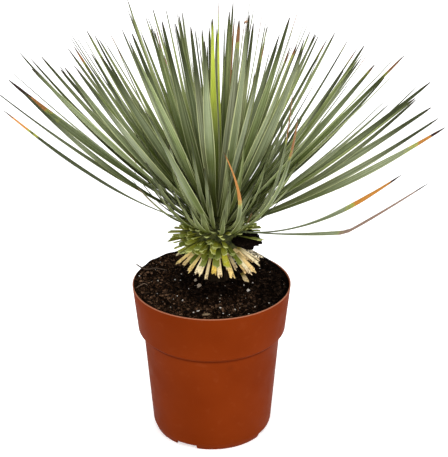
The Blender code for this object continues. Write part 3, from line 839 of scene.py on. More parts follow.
def fillers(rows, count_share, reach_share, draw):
    """Shorter bases that show in the gaps between the others."""
    places = []
    for slope_degrees, count, reach in rows:
        for number in range(round(count * count_share)):
            turn = (number + draw.random()) * tau / round(count * count_share)
            slope = radians(slope_degrees + draw.uniform(-5, 5))
            roll = radians(draw.uniform(-30, 30))
            length = cut_root_radius + (reach - cut_root_radius) * reach_share * draw.uniform(0.75, 1.1)
            places.append((turn, slope, roll, length))
    return [place for place in places if not in_clod(*place[:2])]


def strap_shape(name, draw, rag, slant, curl):
    """One cut base, one unit long, wide and thick: a hollowed strap, widest at its cut end."""
    shape = bmesh.new()
    along = shape.verts.layers.float.new("along")
    across = shape.verts.layers.float.new("across")
    rag_at = [rag * draw.uniform(-1, 1) for _ in range(strap_columns)]
    twist = draw.uniform(-0.10, 0.10)
    drift = draw.uniform(-0.16, 0.16)
    middle = strap_columns - 1
    lower_columns = range(middle - 1, 0, -1)
    rings = []
    for station in range(strap_stations + 1):
        share = min(station / (strap_stations - 1), 1.0)
        cap = station == strap_stations
        width = strap_foot_width + (1 - strap_foot_width) * share**1.5 - (strap_cap_width if cap else 0)
        rings.append([])
        for side, columns in ((1, range(strap_columns)), (-1, lower_columns)):
            for column in columns:
                side_share = 2 * column / middle - 1
                half = strap_half_thickness * (1 - 0.75 * abs(side_share) ** 3) * (0.8 + 0.2 * share)
                half *= 0.6 if cap else 1
                end = (slant * side_share + rag_at[column]) * share**4
                y = side_share * width / 2 + drift * share**2
                z = side * half - curl * (1 - side_share**2) + twist * side_share * share
                vertex = shape.verts.new((share + end + (0.006 if cap else 0), y, z))
                vertex[along] = share + (0.05 if cap else 0)
                vertex[across] = side_share
                rings[-1].append(vertex)
    skin(shape, rings)
    for ring in (rings[0], rings[-1]):
        top, bottom = ring[:strap_columns], [ring[0], *reversed(ring[strap_columns:]), ring[middle]]
        for column in range(middle):
            corners = dict.fromkeys((top[column], top[column + 1], bottom[column + 1], bottom[column]))
            if len(corners) > 2:
                shape.faces.new(corners)
    return smoothed(laid_out(name, shape), 50)


def strap_shapes(name, count, draw, rag, slant, curl):
    """Some patterns of cut bases, each cut off at its own slant."""
    names = [f"{name}_{number}" for number in range(count)]
    return [strap_shape(own_name, draw, rag, draw.uniform(-slant, slant), curl) for own_name in names]


def pointing(turn, slope):
    """A heading at a turn round the upright axis and a slope above the level."""
    level_part = reckoned("COSINE", slope)
    return vector_of(times(reckoned("COSINE", turn), level_part), times(reckoned("SINE", turn), level_part),
                     reckoned("SINE", slope))


feeds = {"Straps": "Collection", "Root radius": 0.0265, "Width": 0.0082, "Thickness": 0.0030}
strapping, given = start_growth("set cut leaf bases", feeds)
turn, slope, roll, reach, size, kind = kept(strapping, "turn", "slope", "roll", "reach", "size", "kind")
aim = pointing(turn, slope)
beside = vector_of(times(reckoned("SINE", turn), -1.0), reckoned("COSINE", turn), 0.0)
facing = wired("FunctionNodeAxesToRotation", {"Primary Axis": aim, "Secondary Axis": beside},
               primary_axis="X", secondary_axis="Y")
rolled = wired("FunctionNodeAxisAngleToRotation", {"Axis": (1, 0, 0), "Angle": roll})
feeds = {"Rotation": facing, "Rotate By": rolled}
facing = wired("FunctionNodeRotateRotation", feeds, rotation_space="LOCAL")
offset = wired("ShaderNodeVectorMath", {0: aim, "Scale": given["Root radius"]}, operation="SCALE")
points = wired("GeometryNodeSetPosition", {"Geometry": given["Base"], "Offset": offset})
feeds = {"Collection": given["Straps"], "Separate Children": True, "Reset Children": True}
patterns = wired("GeometryNodeCollectionInfo", feeds)
length = less(reach, given["Root radius"])
stretch = vector_of(length, times(size, given["Width"]), times(size, given["Thickness"]))
feeds = {
    "Points": points, "Instance": patterns, "Pick Instance": True, "Instance Index": kind,
    "Rotation": facing, "Scale": stretch,
}
grown_out(wired("GeometryNodeInstanceOnPoints", feeds), given["Finish"])


def strapped(name, places, patterns, finish, draw, ripe_spots=(), sizes=(0.85, 1.1), middle=head_centre):
    """A set of cut bases, each with its own size, pattern, tint and ripeness (how far it has yellowed)."""
    rows = []
    for turn, slope, roll, reach in places:
        ripe = max(0.0, draw.gauss(0.12, 0.22))
        for spot_turn, spot_slope, amount in ripe_spots:
            spot = away(radians(spot_turn), radians(spot_slope))
            if away(turn, slope).angle(spot) < ripe_spot_width:
                ripe = amount
        rows.append({
            "place": middle, "turn": turn, "slope": slope, "roll": roll, "reach": reach,
            "size": draw.uniform(*sizes), "kind": draw.randrange(len(patterns)), "tint": draw.random(),
            "ripe": min(ripe, 1.0),
        })
    drawer = bpy.data.collections.new("strap patterns")
    for pattern in patterns:
        drawer.objects.link(pattern)
    piece = grown(name, point_cloud(name, rows), strapping, Straps=drawer, Root_radius=cut_root_radius,
                  Width=cut_width, Thickness=cut_thickness, Finish=finish)
    bpy.data.collections.remove(drawer)
    for pattern in patterns:
        bpy.data.objects.remove(pattern)
    return piece


feeds = {"Lines": 9.0, "Run": 2.0, "From": 0.4, "To": 0.6}
veins, given = start_group("ShaderNodeTree", "lengthwise veins", feeds)
vein_place = vector_of(times(marked(veins, "across"), given["Lines"]),
                       times(marked(veins, "along"), given["Run"]), times(marked(veins, "tint"), 91.0))
streak = wired("ShaderNodeTexNoise", {"Vector": vein_place, "Scale": 1.0, "Detail": 3.0})
put_out(veins, Mask=ranged(streak, given["From"], given["To"]))


def veined(tree, lines, run, low, high):
    """A mask of streaks that run along the strap or leaf."""
    return placed(tree, veins, Lines=lines, Run=run, From=low, To=high)


straw, tree = start_finish("dried leaf base", 0.72, 0.1)
along, tint, ripe = marked(tree, "along"), marked(tree, "tint"), marked(tree, "ripe")
across = from_middle(tree)
lines = veined(tree, 7.0, 1.5, 0.48, 0.66)
soiled = times(ranged(along, 0.66, 1.0), mottled(tree, 0.0026, 2.0, 0.50, 0.60))
body = painted(
    blended(tint, (0.92, 0.66, 0.26), (1.0, 0.90, 0.60)),
    (ripe, 1, (0.90, 0.64, 0.08)),
    (ranged(along, 0.55, 0.25), 1, (0.20, 0.17, 0.035)),
    (lines, 0.30, (0.42, 0.24, 0.08)),
    (mottled(tree, 0.006, 4.0, 0.52, 0.66), 0.35, (0.44, 0.22, 0.07)),
    (ranged(across, 0.84, 1.0), 0.6, (0.22, 0.11, 0.04)),
    (soiled, 0.85, (0.14, 0.062, 0.024)),
    (ranged(along, 1.0, 1.03), 0.35, (0.62, 0.42, 0.24)),
)
coated(tree, body, lines, 0.6, 0.0005)

draw = Random(31)
dry_patterns = strap_shapes("dry", 6, draw, 0.07, 0.08, 0.30)
dry_places = cut_places(dry_rows, Random(cut_seed)) + fillers(dry_rows, 0.4, 0.35, Random(41))
dry_places += [(radians(turn), radians(-33), 0.1, 0.073) for turn in (-46, -39)]
yellow_one = (-96, -45, 0.9)
dry_bases = strapped("dry_cut_bases", dry_places, dry_patterns, straw, draw, (yellow_one,), (0.70, 1.05))
fitted(dry_bases, "trunk_dry_leaf_bases")

# One straw on the right still wears the fine net of its torn husk
netting, tree = start_finish("netted husk", 0.85, 0.05)
along = marked(tree, "along")
net_place = vector_of(times(marked(tree, "across"), 2.2), times(along, 7.0), 0.0)
cells = wired("ShaderNodeTexVoronoi", {"Vector": net_place, "Scale": 1.0}, feature="DISTANCE_TO_EDGE")
holes = ranged(cells, 0.10, 0.20)
body = painted(
    blended(mottled(tree, 0.003, 3.0, 0.35, 0.65), (0.50, 0.41, 0.24), (0.88, 0.78, 0.60)),
    (holes, 1, (0.012, 0.008, 0.005)),
    (ranged(along, 0.45, 0.15), 1, (0.16, 0.17, 0.07)),
)
coated(tree, body, holes, 0.8, 0.0008, invert=True)
draw = Random(35)
husk_patterns = [strap_shape("husk", draw, 0.08, 0.10, 0.22)]
husk_places = [(radians(-39), radians(-13.5), radians(-10), 0.070)]
husk = strapped("netted_husk", husk_places, husk_patterns, netting, draw, (), (1.35, 1.35))
fitted(husk, "trunk_dry_leaf_bases")

# A short cutting of straw fell on the soil in front of the stem
draw = Random(36)
cutting_patterns = [strap_shape("cutting", draw, 0.12, 0.20, 0.30)]
cutting_turn, cutting_slope = radians(-73), radians(-4)
cutting_middle = Vector((0.0400, 0.0040, soil_height(0.0400, 0.0040) + 0.0030))
cutting_middle -= away(cutting_turn, cutting_slope) * cut_root_radius
cutting_places = [(cutting_turn, cutting_slope, radians(14), cut_root_radius + 0.020)]
cutting = strapped("fallen_cutting", cutting_places, cutting_patterns, straw, draw, (), (0.80, 0.80),
                   cutting_middle)
fitted(cutting, "soil")

fresh, tree = start_finish("green leaf base", 0.5)
along, tint, ripe = marked(tree, "along"), marked(tree, "tint"), marked(tree, "ripe")
across = from_middle(tree)
lines = veined(tree, 6.0, 1.2, 0.45, 0.68)
body = painted(
    blended(tint, (0.066, 0.085, 0.007), (0.215, 0.250, 0.026)),
    (ripe, 1, (0.66, 0.60, 0.045)),
    (ranged(along, 0.70, 1.0), 0.55, blended(tint, (0.16, 0.19, 0.035), (0.40, 0.45, 0.17))),
    # Painted shade: towards the stem the bases darken to near-black, where they lie in each other's shade
    (ranged(along, 0.65, 0.20), 1, (0.025, 0.032, 0.006)),
    (lines, 0.5, (0.045, 0.06, 0.010)),
    (ranged(across, 0.80, 1.0), 0.35, (0.34, 0.34, 0.14)),
    (ranged(along, 1.0, 1.03), 0.4, (0.36, 0.37, 0.16)),
)
coated(tree, body, lines, 0.5, 0.0004)

draw = Random(32)
green_patterns = strap_shapes("green", 6, draw, 0.04, 0.10, 0.34)
green_places = cut_places(green_rows, Random(cut_seed + 1))
green_places += fillers(green_rows, 0.8, 0.72, Random(42))
# Ripe ones as turn, slope and ripeness, and low ones as turn, slope, roll and reach
ripe_ones = (
    (-78, -23, 1.0), (-136, -20, 0.5), (-150, -19, 0.6),
    (-164, -20, 0.6), (-178, -18, 0.5), (-120, -14, 0.35),
)
low_greens = (
    (-108, -23, 4, 0.063), (-92, -22, -6, 0.062), (-78, -23, 3, 0.063),
    (-60, -22, 8, 0.063), (-128, -25, 5, 0.060), (-37, 5, -8, 0.069),
)
for turn, slope, roll, reach in low_greens:
    green_places.append((radians(turn), radians(slope), radians(roll), reach))
green_bases = strapped("green_cut_bases", green_places, green_patterns, fresh, draw, ripe_ones)
fitted(green_bases, "green_leaf_bases")

draw = Random(33)
crown_patterns = strap_shapes("crown", 4, draw, 0.04, 0.10, 0.34)
crown_places = cut_places(crown_rows, Random(cut_seed + 2))
crown_places += fillers(sheath_rows, 1.0, 0.9, Random(43))
crown_bases = strapped("upper_cut_bases", crown_places, crown_patterns, fresh, draw, (), (0.6, 1.0))
fitted(crown_bases, "leaf_crown")

# Heart of the head, the fleshy stem that the leaves grow from. Its skin is dull green where it shows between
# their feet, which is hardly anywhere.
heart_top_slope = 80
heart_span = 130
heart_steps = 11
heart_shrink = 0.0012
heart_outline = [(0, head_height + 0.030)]
for step in range(heart_steps + 1):
    slope = radians(heart_top_slope - heart_span * step / heart_steps)
    bulge = crown_core_radius + (green_core_radius - crown_core_radius) * min(step / 6, 1)
    heart_outline.append((bulge * cos(slope), head_height + bulge * sin(slope)))
heart_outline.append((0, head_height - 0.026))
heart_shape = turned(heart_outline, 64)
for vertex in heart_shape.verts:
    vertex.co.x += trunk_x
    outward = (vertex.co - head_centre).normalized()
    vertex.co += outward * (heart_shrink * noise.noise(outward * 9) - heart_shrink)
heart = smoothed(laid_out("head_heart", heart_shape), 70)
flesh, tree = start_finish("head flesh", 0.7)
patch = mottled(tree, 0.005, 5.0, 0.4, 0.62)
coated(tree, blended(patch, (0.020, 0.024, 0.006), (0.075, 0.080, 0.020)), patch, 0.6, 0.001)
fitted(heart, "green_leaf_bases", flesh)

# Clod. A near-black lump among the cut bases on the right, finished like the soil's peat but much darker.
clod_radius = 0.062
clod_edge = 0.008
clod_roughness = 0.0050
clod_warp = radians(5.5)
clod_cut_away = radians(6)
clod_lumps = 2.2
clod_seed = 2.4
clod_crumb = ((0.0032, 13), (0.0022, 31), (0.0010, 75))
clod_shape = bmesh.new()
bmesh.ops.create_grid(clod_shape, x_segments=72, y_segments=48, size=1)
face_side = list(clod_shape.verts)
everything = [*clod_shape.verts, *clod_shape.edges, *clod_shape.faces]
twins = bmesh.ops.duplicate(clod_shape, geom=everything)["vert_map"]
inner_radius = green_core_radius + soil_gap
for vertex in face_side:
    across, up = vertex.co.x, vertex.co.y
    turn = clod_turns[0] + (clod_turns[1] - clod_turns[0]) * (across + 1) / 2
    lowest = clod_slopes[0] + clod_cut_away * (1 - 0.6 * across)
    slope = lowest + (clod_slopes[1] - lowest) * (up + 1) / 2
    turn += clod_warp * noise.noise(Vector((across * 1.6, up * 1.6, 5.1)))
    slope += clod_warp * noise.noise(Vector((across * 2.4, up * 1.8, 8.3)))
    swell = (1 - across**4) * (1 - up**4)
    rough = clod_roughness * noise.noise(Vector((across, up, clod_seed)) * clod_lumps)
    radius = inner_radius + clod_edge + (clod_radius - inner_radius - clod_edge) * swell + rough
    outward = away(turn, slope)
    crumbs = crumbled(outward, clod_crumb) - 0.001
    vertex.co = head_centre + outward * (radius + crumbs * (0.3 + 0.7 * swell))
    twins[vertex].co = head_centre + outward * inner_radius
bmesh.ops.bridge_loops(clod_shape, edges=[rim_edge for rim_edge in clod_shape.edges if rim_edge.is_boundary])
clod = smoothed(laid_out("clod_of_soil", clod_shape), 70)
clod_peat = peat_finish("clod peat", 0.0020, (0.0030, 0.0018, 0.0014), (0.030, 0.018, 0.012))
fitted(clod, "soil_clod", clod_peat)

# Long leaves. Real ones are stiff, blue-grey straps with a keel below, pale horny edges and a needle point.
# They all spring from one bud, so each next leaf stands a golden angle round from the one before it.
leaf_count = 156
leaf_seed = 1925
golden_angle = pi * (3 - sqrt(5))
cap_angle = radians(60)
lean_right = radians(4)
lean_back = radians(5)
left_crowding = 0.3
front_rise = 0.5
leaf_jitter = radians(3.3)
leaf_middle = 0.2
inner_leaf_reach = 0.280
outer_leaf_reach = 0.344
leaf_reach_spread = 0.020
side_reach = 0.285
leaf_root_radius = 0.024
leaf_lift = Vector((0, 0, 0.0035))
leaf_width = 0.0112
leaf_width_spread = 0.0018
inner_leaf_width = 0.74
back_narrowing = 0.22
right_widening = 0.06
inner_fullness = 0.76
right_light_tint = 0.20
right_exposure = 0.6
innermost_youth = 0.95
youth_loss = 1.4
youth_spread = 0.22
leaves_kept_whole = 0.9
# How much painted shade a leaf gets as a rule, and how far that varies
usual_shade_darkness = -0.14
shade_darkness_spread = 0.30
leaf_bend = radians(27)
leaf_bend_spread = radians(4)
leaf_bend_haste = 1.6
leaf_bend_rise = 1.3
leaf_sweep_spread = radians(6)
leaf_root_roll = radians(18)
leaf_roll_spread = radians(75)
leaf_lowest_start = radians(10)
old_leaf_clearance = radians(6.5)
leaf_kink_from, leaf_kink_to = 0.56, 0.58
leaf_steps = 40
tip_allowance = 0.0003
# Shares of the leaf's length and of its full width there
leaf_outline = (
    (0.0, 0.50), (0.12, 0.53), (0.30, 0.80), (0.45, 1.0), (0.60, 0.88), (0.75, 0.58), (0.88, 0.38),
    (0.97, 0.25), (1.0, 0.09),
)

# Old leaves one by one, in degrees and metres: the turn, the slope at the root, how far it bends, sweeps and
# rolls, its reach and width, the shares of the length between which it has withered, how brown it is there
# (0 is orange, 1 is brown, 2 is bleached), and how far out it stays broad (1 is like the rest)
old_leaf_angles = ("turn", "start", "bend", "sweep", "roll")
old_leaf_words = (*old_leaf_angles, "reach", "width", "withered_from", "withered_to", "brown", "fullness")
old_leaves = (
    (-46, 12.5, 29, 0, 42, 0.374, 0.0080, 0.57, 0.95, 2.0, 1.2),
    (-45, 11, 31, 0, 40, 0.333, 0.0112, 0.72, 0.93, 0.0, 1.9),
    (12, 10, 19, -1, 30, 0.330, 0.0125, 0.84, 0.93, 0.2, 1.3),
    (-149, 25.5, 20.5, -3, 40, 0.353, 0.0108, 0.895, 0.955, 0.05, 1.2),
    (163, 26, 11, 2, -40, 0.333, 0.0125, 0.79, 0.89, 0.6, 1.3),
    (-75, 20, 38, -55, 10, 0.288, 0.0050, 0.60, 1.10, 0.45, 1.0),
    (-60, 18, 64, -7, 35, 0.319, 0.0070, 0.80, 1.10, 0.9, 1.2),
    (-64, 20, 42, -22, 30, 0.346, 0.0085, 0.80, 1.10, 0.8, 1.2),
    (-103, 32, 21, -16, -18, 0.358, 0.0135, 1.20, 1.30, 0.0, 1.0),
)

# What sets some leaves off, by their number: the first old one hangs kinked, five old ones have their own
# tint or share of painted shade, three young ones are yellow-green, and one has gone red-brown from its
# middle
marked_leaves = {
    0: {"sheltered": 0.1, "tint": 1.0, "darkness": 0.0, "kink": 0.60},
    1: {"sheltered": 0.1, "tint": 1.0, "darkness": 0.0},
    3: {"tint": 0.02, "darkness": 0.9},
    5: {"tint": 0.35, "darkness": 0.15},
    8: {"tint": 0.40, "sheltered": 0.9, "darkness": 0.2},
    45: {"young": 2.0, "width": 0.0115, "tint": 0.65, "darkness": 0.0},
    15: {"young": 2.0, "tint": 0.6, "darkness": 0.0},
    100: {"young": 1.9, "tint": 0.65, "darkness": 0.0},
    75: {"withered_from": 0.52, "withered_to": 0.97, "brown": 0.8},
}
# Rows of short leaves, each as its slope in degrees, their number and their reach
short_leaf_rows = ((13, 30, 0.120), (22, 30, 0.150), (31, 26, 0.170), (40, 20, 0.190))
short_leaf_width = 0.0066
short_leaf_width_spread = 0.0014
short_leaf_bend = 55


def short_leaves(draw):
    """Short leaves whose feet clasp the head below the long ones, and rise among them."""
    rows = []
    for row, (slope, count, reach) in enumerate(short_leaf_rows):
        for number in range(count):
            start = radians(slope + draw.uniform(-4, 4))
            brown_end = draw.random() < 0.05
            rows.append({
                "turn": (number + 0.5 * (row % 2)) * tau / count + radians(draw.gauss(0, 4)),
                "start": start,
                "bend": radians(short_leaf_bend + draw.gauss(0, 5)) - 0.5 * start,
                "reach": reach * draw.uniform(0.85, 1.15),
                "sweep": radians(draw.gauss(0, 10)),
                "root_roll": radians(draw.uniform(-15, 15)),
                "roll": radians(draw.uniform(-50, 50)),
                "width": short_leaf_width + short_leaf_width_spread * draw.uniform(-1, 1),
                "withered_from": draw.uniform(0.6, 0.9) if brown_end else 1.3,
                "withered_to": 1.4,
                "brown": draw.uniform(0.5, 1.0),
                "young": draw.uniform(0.0, 0.3),
                "tint": draw.uniform(0.0, 0.6),
                "sheltered": 1.0,
            })
    return rows


def leaf_rows():
    """Every leaf with its path, width and looks."""
    draw = Random(leaf_seed)
    looks = Random(5)
    rows = []
    for leaf in old_leaves:
        row = dict(zip(old_leaf_words, leaf), root_roll=0.0, young=0.1)
        for angle in old_leaf_angles:
            row[angle] = radians(row[angle])
        rows.append(row)
    old = len(rows)
    lean = Matrix.Rotation(lean_right, 3, "Y") @ Matrix.Rotation(-lean_back, 3, "X")
    for number in range(leaf_count):
        share = (number + 0.5) / leaf_count
        from_axis = acos(1 - share * (1 - cos(cap_angle)))
        turn = number * golden_angle + draw.gauss(0, leaf_jitter) / max(sin(from_axis), leaf_middle)
        from_axis += draw.gauss(0, leaf_jitter)
        turn += left_crowding * sin(turn)
        from_axis *= 1 - front_rise * max(0.0, -sin(turn)) ** 2
        chord = lean @ away(turn, pi / 2 - from_axis)
        turn, slope = atan2(chord.y, chord.x), asin(chord.z)
        openness = max(0.0, 1 - slope / (pi / 2))
        bend = leaf_bend * openness**leaf_bend_rise + draw.gauss(0, leaf_bend_spread)
        start = max(slope - bend * leaf_bend_haste / (leaf_bend_haste + 1), leaf_lowest_start)
        reach = inner_leaf_reach + (outer_leaf_reach - inner_leaf_reach) * share
        reach += leaf_reach_spread * draw.uniform(-1, 1)
        reach = min(reach, side_reach / abs(chord.x))
        row = {
            "turn": turn, "start": start, "bend": bend, "reach": reach,
            "sweep": draw.gauss(0, leaf_sweep_spread),
            "root_roll": leaf_root_roll * draw.uniform(-1, 1),
            "roll": leaf_roll_spread * draw.uniform(-1, 1),
            "width": leaf_width + leaf_width_spread * draw.uniform(-1, 1),
            "fullness": inner_fullness + (1 - inner_fullness) * share**2,
            "withered_from": 1.3 if looks.random() < leaves_kept_whole else looks.uniform(0.88, 0.95),
            "withered_to": 1.1,
            "brown": looks.uniform(0.7, 1.0),
            "young": min(1.0, max(0.0, innermost_youth - youth_loss * share + looks.gauss(0, youth_spread))),
        }
        row["width"] *= inner_leaf_width + (1 - inner_leaf_width) * min(1.0, 2 * share)
        row["width"] *= (1 - back_narrowing * max(0.0, sin(turn))) * (1 + right_widening * cos(turn))
        root = away(turn, start)
        if min(root.angle(away(leaf["turn"], leaf["start"])) for leaf in rows[:old]) > old_leaf_clearance:
            rows.append(row)
    # Leaves on the right get less of the painted shade by the heart
    for row in rows:
        row["sheltered"] = 1.0 - right_exposure * max(0.0, cos(row["turn"]))
    for number, changes in marked_leaves.items():
        rows[number].update(changes)
    rows += short_leaves(Random(77))
    for row in rows:
        row.setdefault("tint", looks.random())
        row.setdefault("fullness", 1.0)
        row.setdefault("kink", 0.0)
        row.setdefault("darkness", max(0.0, looks.gauss(usual_shade_darkness, shade_darkness_spread)))
        row["reach"] -= tip_allowance
        # Painted light: leaves towards the right take lighter tints, and those towards the left darker ones
        row["tint"] += right_light_tint * cos(row["turn"])
        row["place"] = head_centre + leaf_lift + away(row["turn"], row["start"]) * leaf_root_radius
    return rows


feeds = {"Root radius": 0.024, "Bend haste": 1.6, "Keel depth": 0.32, "Hollow": 0.08, "Stations": 24}
blades, given = start_growth("grow leaves", feeds)
rib = wired("GeometryNodeCurvePrimitiveLine", {"Start": (0.0, 0.0, 0.0), "End": (0.0, 0.0, 0.1)}, blades)
rib = wired("GeometryNodeResampleCurve", {"Curve": rib, "Count": leaf_steps + 1})
ribs = wired("GeometryNodeInstanceOnPoints", {"Points": given["Base"], "Instance": rib})
places = wired("GeometryNodeInputPosition", {}, blades)
ribs = stored(ribs, "foot", places, domain="INSTANCE", data_type="FLOAT_VECTOR")
ribs = wired("GeometryNodeRealizeInstances", {"Geometry": ribs})
turn, start, bend, kink, reach = kept(blades, "turn", "start", "bend", "kink", "reach")
sweep, root_roll, roll, width, fullness = kept(blades, "sweep", "root_roll", "roll", "width", "fullness")
[foot] = kept(blades, "foot", data_type="FLOAT_VECTOR")
order = wired("GeometryNodeCurveOfPoint", {}, blades, "Index in Curve")
share = reckoned("DIVIDE", order, float(leaf_steps))
bent_share = less(1.0, reckoned("POWER", less(1.0, share), given["Bend haste"]))
past_kink = less(ranged(share, leaf_kink_from, leaf_kink_to), bent_share)
bent_share = reckoned("MULTIPLY_ADD", kink, past_kink, bent_share)
slope = reckoned("ADD", start, times(bend, bent_share))
heading = pointing(reckoned("ADD", turn, times(sweep, times(share, share))), slope)
stride = reckoned("DIVIDE", less(reach, given["Root radius"]), float(leaf_steps))
step = wired("ShaderNodeVectorMath", {0: heading, "Scale": stride}, operation="SCALE")
feeds = {0: step, "Group ID": order.node.outputs["Curve Index"]}
walk = wired("GeometryNodeAccumulateField", feeds, out="Trailing", data_type="FLOAT_VECTOR", domain="POINT")
spot = wired("ShaderNodeVectorMath", {0: foot, 1: walk}, operation="ADD")
ribs = wired("GeometryNodeSetPosition", {"Geometry": stored(ribs, "along", share), "Position": spot})
ribs = wired("GeometryNodeResampleCurve", {"Curve": ribs, "Count": given["Stations"]})
[share] = kept(blades, "along")
ease = wired("ShaderNodeMapRange", {"Value": share}, interpolation_type="SMOOTHSTEP")
twist = reckoned("MULTIPLY_ADD", less(roll, root_roll), ease, root_roll)
ribs = wired("GeometryNodeSetCurveNormal", {"Curve": ribs}, mode="Z_UP")
ribs = wired("GeometryNodeSetCurveTilt", {"Curve": ribs, "Tilt": twist})
width_share = wired("ShaderNodeFloatCurve", {"Value": reckoned("POWER", share, fullness)})
line = width_share.node.mapping.curves[0]
line.points[0].location = leaf_outline[0]
line.points[1].location = leaf_outline[-1]
for at, width_there in leaf_outline[1:-1]:
    line.points.new(at, width_there)
for point in line.points:
    point.handle_type = "AUTO_CLAMPED"
width_share.node.mapping.update()
feeds = {"Width": 2.0, "Bottom Height": given["Hollow"], "Top Height": given["Keel depth"]}
section = wired("GeometryNodeCurvePrimitiveQuadrilateral", feeds, mode="KITE")
corner = wired("ShaderNodeSeparateXYZ", {"Vector": wired("GeometryNodeInputPosition", {}, blades)}, out="X")
section = stored(stored(section, "across", corner), "below", corner.node.outputs["Y"])
feeds = {"Curve": ribs, "Profile Curve": section, "Scale": times(width, 0.5, width_share), "Fill Caps": True}
grown_out(wired("GeometryNodeCurveToMesh", feeds), given["Finish"])

blade, tree = start_finish("blue-grey leaf", 0.5, 0.08)
along, tint, young, brown = [marked(tree, name) for name in ("along", "tint", "young", "brown")]
across = from_middle(tree)
fine = veined(tree, 9.0, 1.6, 0.42, 0.64)
bands = veined(tree, 4.0, 1.0, 0.46, 0.56)
grown_green = blended(tint, (0.060, 0.076, 0.018), (0.315, 0.360, 0.170))
young_green = blended(tint, (0.180, 0.250, 0.030), (0.470, 0.570, 0.125))
# Painted light: the upper faces of the younger leaves are tinted a lighter yellow-green, as where light
# shines through them
lit_upper_side = times(ranged(marked(tree, "below"), 0.03, 0.0), ranged(young, 0.0, 0.5, 0.10, 0.45))
outer_half = ranged(along, 0.35, 0.65)
weathered = times(outer_half, ranged(young, 0.6, 0.1, 0.15, 0.56))
# Painted light: the outer halves of the young leaves at the top are lightened to pale yellow-green, as where
# light from above and behind falls on them
lit_outer_half = times(outer_half, ranged(young, 0.0, 0.7, 0.14, 0.82))
pale_share = times(ranged(tint, 0.86, 1.0), ranged(young, 0.0, 0.6, 0.65, 0.10))
own_hue = reckoned("FRACT", times(tint, 13.7))
bloom = times(mottled(tree, 0.030, 4.0, 0.40, 0.65), ranged(young, 0.0, 0.5, 0.52, 0.08))
# Painted shade: leaves darken to dark olive towards the heart of the head, where they crowd in each other's
# shade; each leaf carries its own share of it
shaded = times(ranged(apart(own_place(tree), head_centre), 0.19, 0.04, 0.0, 0.88), marked(tree, "sheltered"))
lime = times(ranged(young, 1.5, 2.0), ranged(along, 0.40, 0.64))
# Painted shade: some leaves darken over their outer part, from about a sixth of their length, standing for
# leaves seen on their shaded side
shade_part = times(marked(tree, "darkness"), ranged(along, 0.15, 0.45))
# Each leaf darkens to near-black over a fifth of its length from a point of its own: partly the tips' own
# dark colour, partly painted shade
own_end = ranged(reckoned("FRACT", times(tint, 7.31)), 0.0, 1.0, 0.58, 0.84)
darkens_at = reckoned("MULTIPLY_ADD", ranged(young, 0.0, 1.0), 0.08, own_end)
body = painted(
    blended(young, grown_green, young_green),
    (lit_upper_side, 1, (0.215, 0.280, 0.055)),
    (weathered, 1, (0.430, 0.465, 0.365)),
    (lit_outer_half, 1, (0.520, 0.575, 0.255)),
    (pale_share, 1, (0.420, 0.455, 0.340)),
    (ranged(own_hue, 0.55, 1.0), 0.55, (0.115, 0.175, 0.018)),
    (ranged(own_hue, 0.30, 0.0), 0.40, (0.260, 0.245, 0.140)),
    (bloom, 1, (0.295, 0.335, 0.197)),
    (fine, 0.55, (0.040, 0.050, 0.014)),
    (bands, 0.56, (0.046, 0.062, 0.014)),
    (shaded, 1, (0.060, 0.071, 0.008)),
    (lime, 1, (0.62, 0.72, 0.07)),
    (ranged(across, 0.84, 0.96), 0.80, (0.58, 0.61, 0.30)),
    (shade_part, 1, (0.024, 0.030, 0.010)),
    (ranged(less(along, darkens_at), 0.0, 0.20), 0.84, (0.018, 0.023, 0.005)),
)
rag = mottled(tree, 0.012, 3.0, 0.3, 0.7)
torn = reckoned("ADD", along, ranged(rag, 0.0, 1.0, -0.035, 0.035))
past = less(torn, marked(tree, "withered_from"))
yellowed = times(ranged(past, -0.045, -0.008), ranged(brown, 0.0, 0.6, 0.85, 0.40))
ended = ranged(less(torn, marked(tree, "withered_to")), -0.006, 0.008)
dead = painted(
    blended(brown, (0.64, 0.26, 0.042), (0.145, 0.078, 0.042)),
    (ranged(brown, 1.0, 2.0), 1, (0.33, 0.225, 0.180)),
    (fine, 0.5, (0.10, 0.045, 0.02)),
)
body = painted(
    body,
    (yellowed, 1, (0.40, 0.41, 0.06)),
    (ranged(past, -0.008, 0.012), 1, dead),
    (ended, 1, (0.035, 0.018, 0.016)),
    (ranged(along, 0.955, 0.985), 0.9, (0.028, 0.018, 0.010)),
)
coated(tree, body, fine, 0.35, 0.0003, ranged(fine, 0.0, 1.0, 0.38, 0.52))

leaf_crown = grown("long_leaves", point_cloud("long_leaves", leaf_rows()), blades,
                   Root_radius=leaf_root_radius, Bend_haste=leaf_bend_haste, Keel_depth=0.40, Hollow=0.08,
                   Stations=26, Finish=blade)
fitted(smoothed(leaf_crown, 24), "leaf_crown")

# Dry curl. The dead end of one tall leaf at the back has split off and rolled up. It is dry leaf skin, and
# still hangs by a thread.
curl_line = (
    (0.0449, 0.0575, 0.5470, 0.0003), (0.0456, 0.0575, 0.5490, 0.0004), (0.0468, 0.0573, 0.5503, 0.0007),
    (0.0456, 0.0571, 0.5508, 0.0010), (0.0441, 0.0570, 0.5501, 0.0012), (0.0429, 0.0570, 0.5485, 0.0010),
    (0.0434, 0.0570, 0.5474, 0.0004),
)
dead_skin = tone_finish("dead leaf skin", (0.20, 0.11, 0.06), (0.58, 0.36, 0.24), 0.0, 0.8, 0.9)
curl = grown("dry_curl", bent_lines("dry_curl", [(0.9, curl_line)]), stems, Finish=dead_skin)
fitted(smoothed(curl, 50), "leaf_crown")

# Studio. A wide pale floor under soft lights from above, in front and both sides, and the camera a little
# above the pot, looking down on it.
floor_half_width = 6
camera_distance = 1.70
camera_rise = radians(26.7)
camera_pitch = radians(24.3)
camera_yaw = radians(0.62)
photo_height = 457
focal_length_in_pixels = 1279
film_width = 36.0
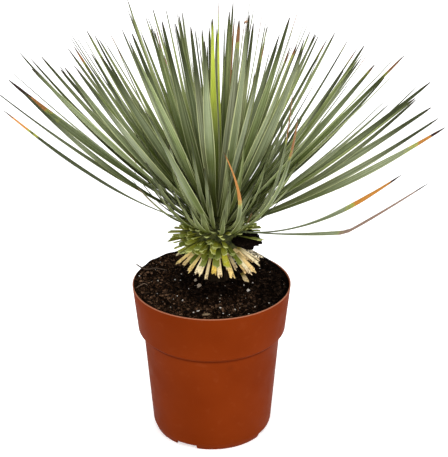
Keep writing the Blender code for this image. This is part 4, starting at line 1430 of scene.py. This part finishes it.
# Name, place, size and power
soft_lights = (
    ("overhead", (0.0, 0.6, 3.0), 3.0, 66.0),
    ("key", (-0.3, -2.35, 1.35), 1.1, 24.0),
    ("right fill", (1.8, -1.4, 1.1), 1.2, 37.0),
    ("left fill", (-2.1, -1.0, 0.9), 1.2, 17.0),
)

floor_shape = bmesh.new()
bmesh.ops.create_grid(floor_shape, x_segments=2, y_segments=2, size=floor_half_width)
floor = laid_out("studio_floor", floor_shape)
floor_paint, tree = start_finish("pale floor", 0.9)
shader = tree.nodes["Principled BSDF"]
haze = mottled(tree, 0.6, 2.0, 0.3, 0.7)
tree.links.new(blended(haze, (0.90, 0.90, 0.90), (0.92, 0.92, 0.92)), shader.inputs["Base Color"])
far_off = ranged(apart(own_place(tree), (0.0, 0.0, 0.0)), 0.9, 2.4)
far_off = times(far_off, wired("ShaderNodeLightPath", {}, tree, "Is Camera Ray"))
glow = blended(far_off, (0.42, 0.42, 0.42), (0.96, 0.96, 0.96))
tree.links.new(glow, shader.inputs["Emission Color"])
shader.inputs["Emission Strength"].default_value = 1.0
floor.data.materials.append(floor_paint)

bpy.context.scene.view_settings.view_transform = "Standard"
sky = bpy.data.worlds.new("pale studio")
bpy.context.scene.world = sky
sky.use_nodes = True
backdrop = sky.node_tree.nodes["Background"]
backdrop.inputs["Color"].default_value = (1.0, 1.0, 1.0, 1.0)
seen = wired("ShaderNodeLightPath", {}, sky.node_tree, "Is Camera Ray")
sky.node_tree.links.new(ranged(seen, 0.0, 1.0, 0.35, 1.0), backdrop.inputs["Strength"])

for name, place, size, power in soft_lights:
    lamp = bpy.data.lights.new(name, "AREA")
    lamp.shape = "SQUARE"
    lamp.size = size
    lamp.energy = power
    light = set_out(name, lamp)
    light.location = place
    light.rotation_euler = (Vector(place) - head_centre).to_track_quat("Z", "Y").to_euler()

lens = bpy.data.cameras.new("camera")
lens.sensor_width = film_width
lens.lens = film_width * focal_length_in_pixels / photo_height
lens.clip_start = 0.05
camera = set_out("camera", lens)
camera.location = (0, -camera_distance * cos(camera_rise), pot_height + camera_distance * sin(camera_rise))
camera.rotation_euler = (pi / 2 - camera_pitch, 0, -camera_yaw)
bpy.context.scene.camera = camera
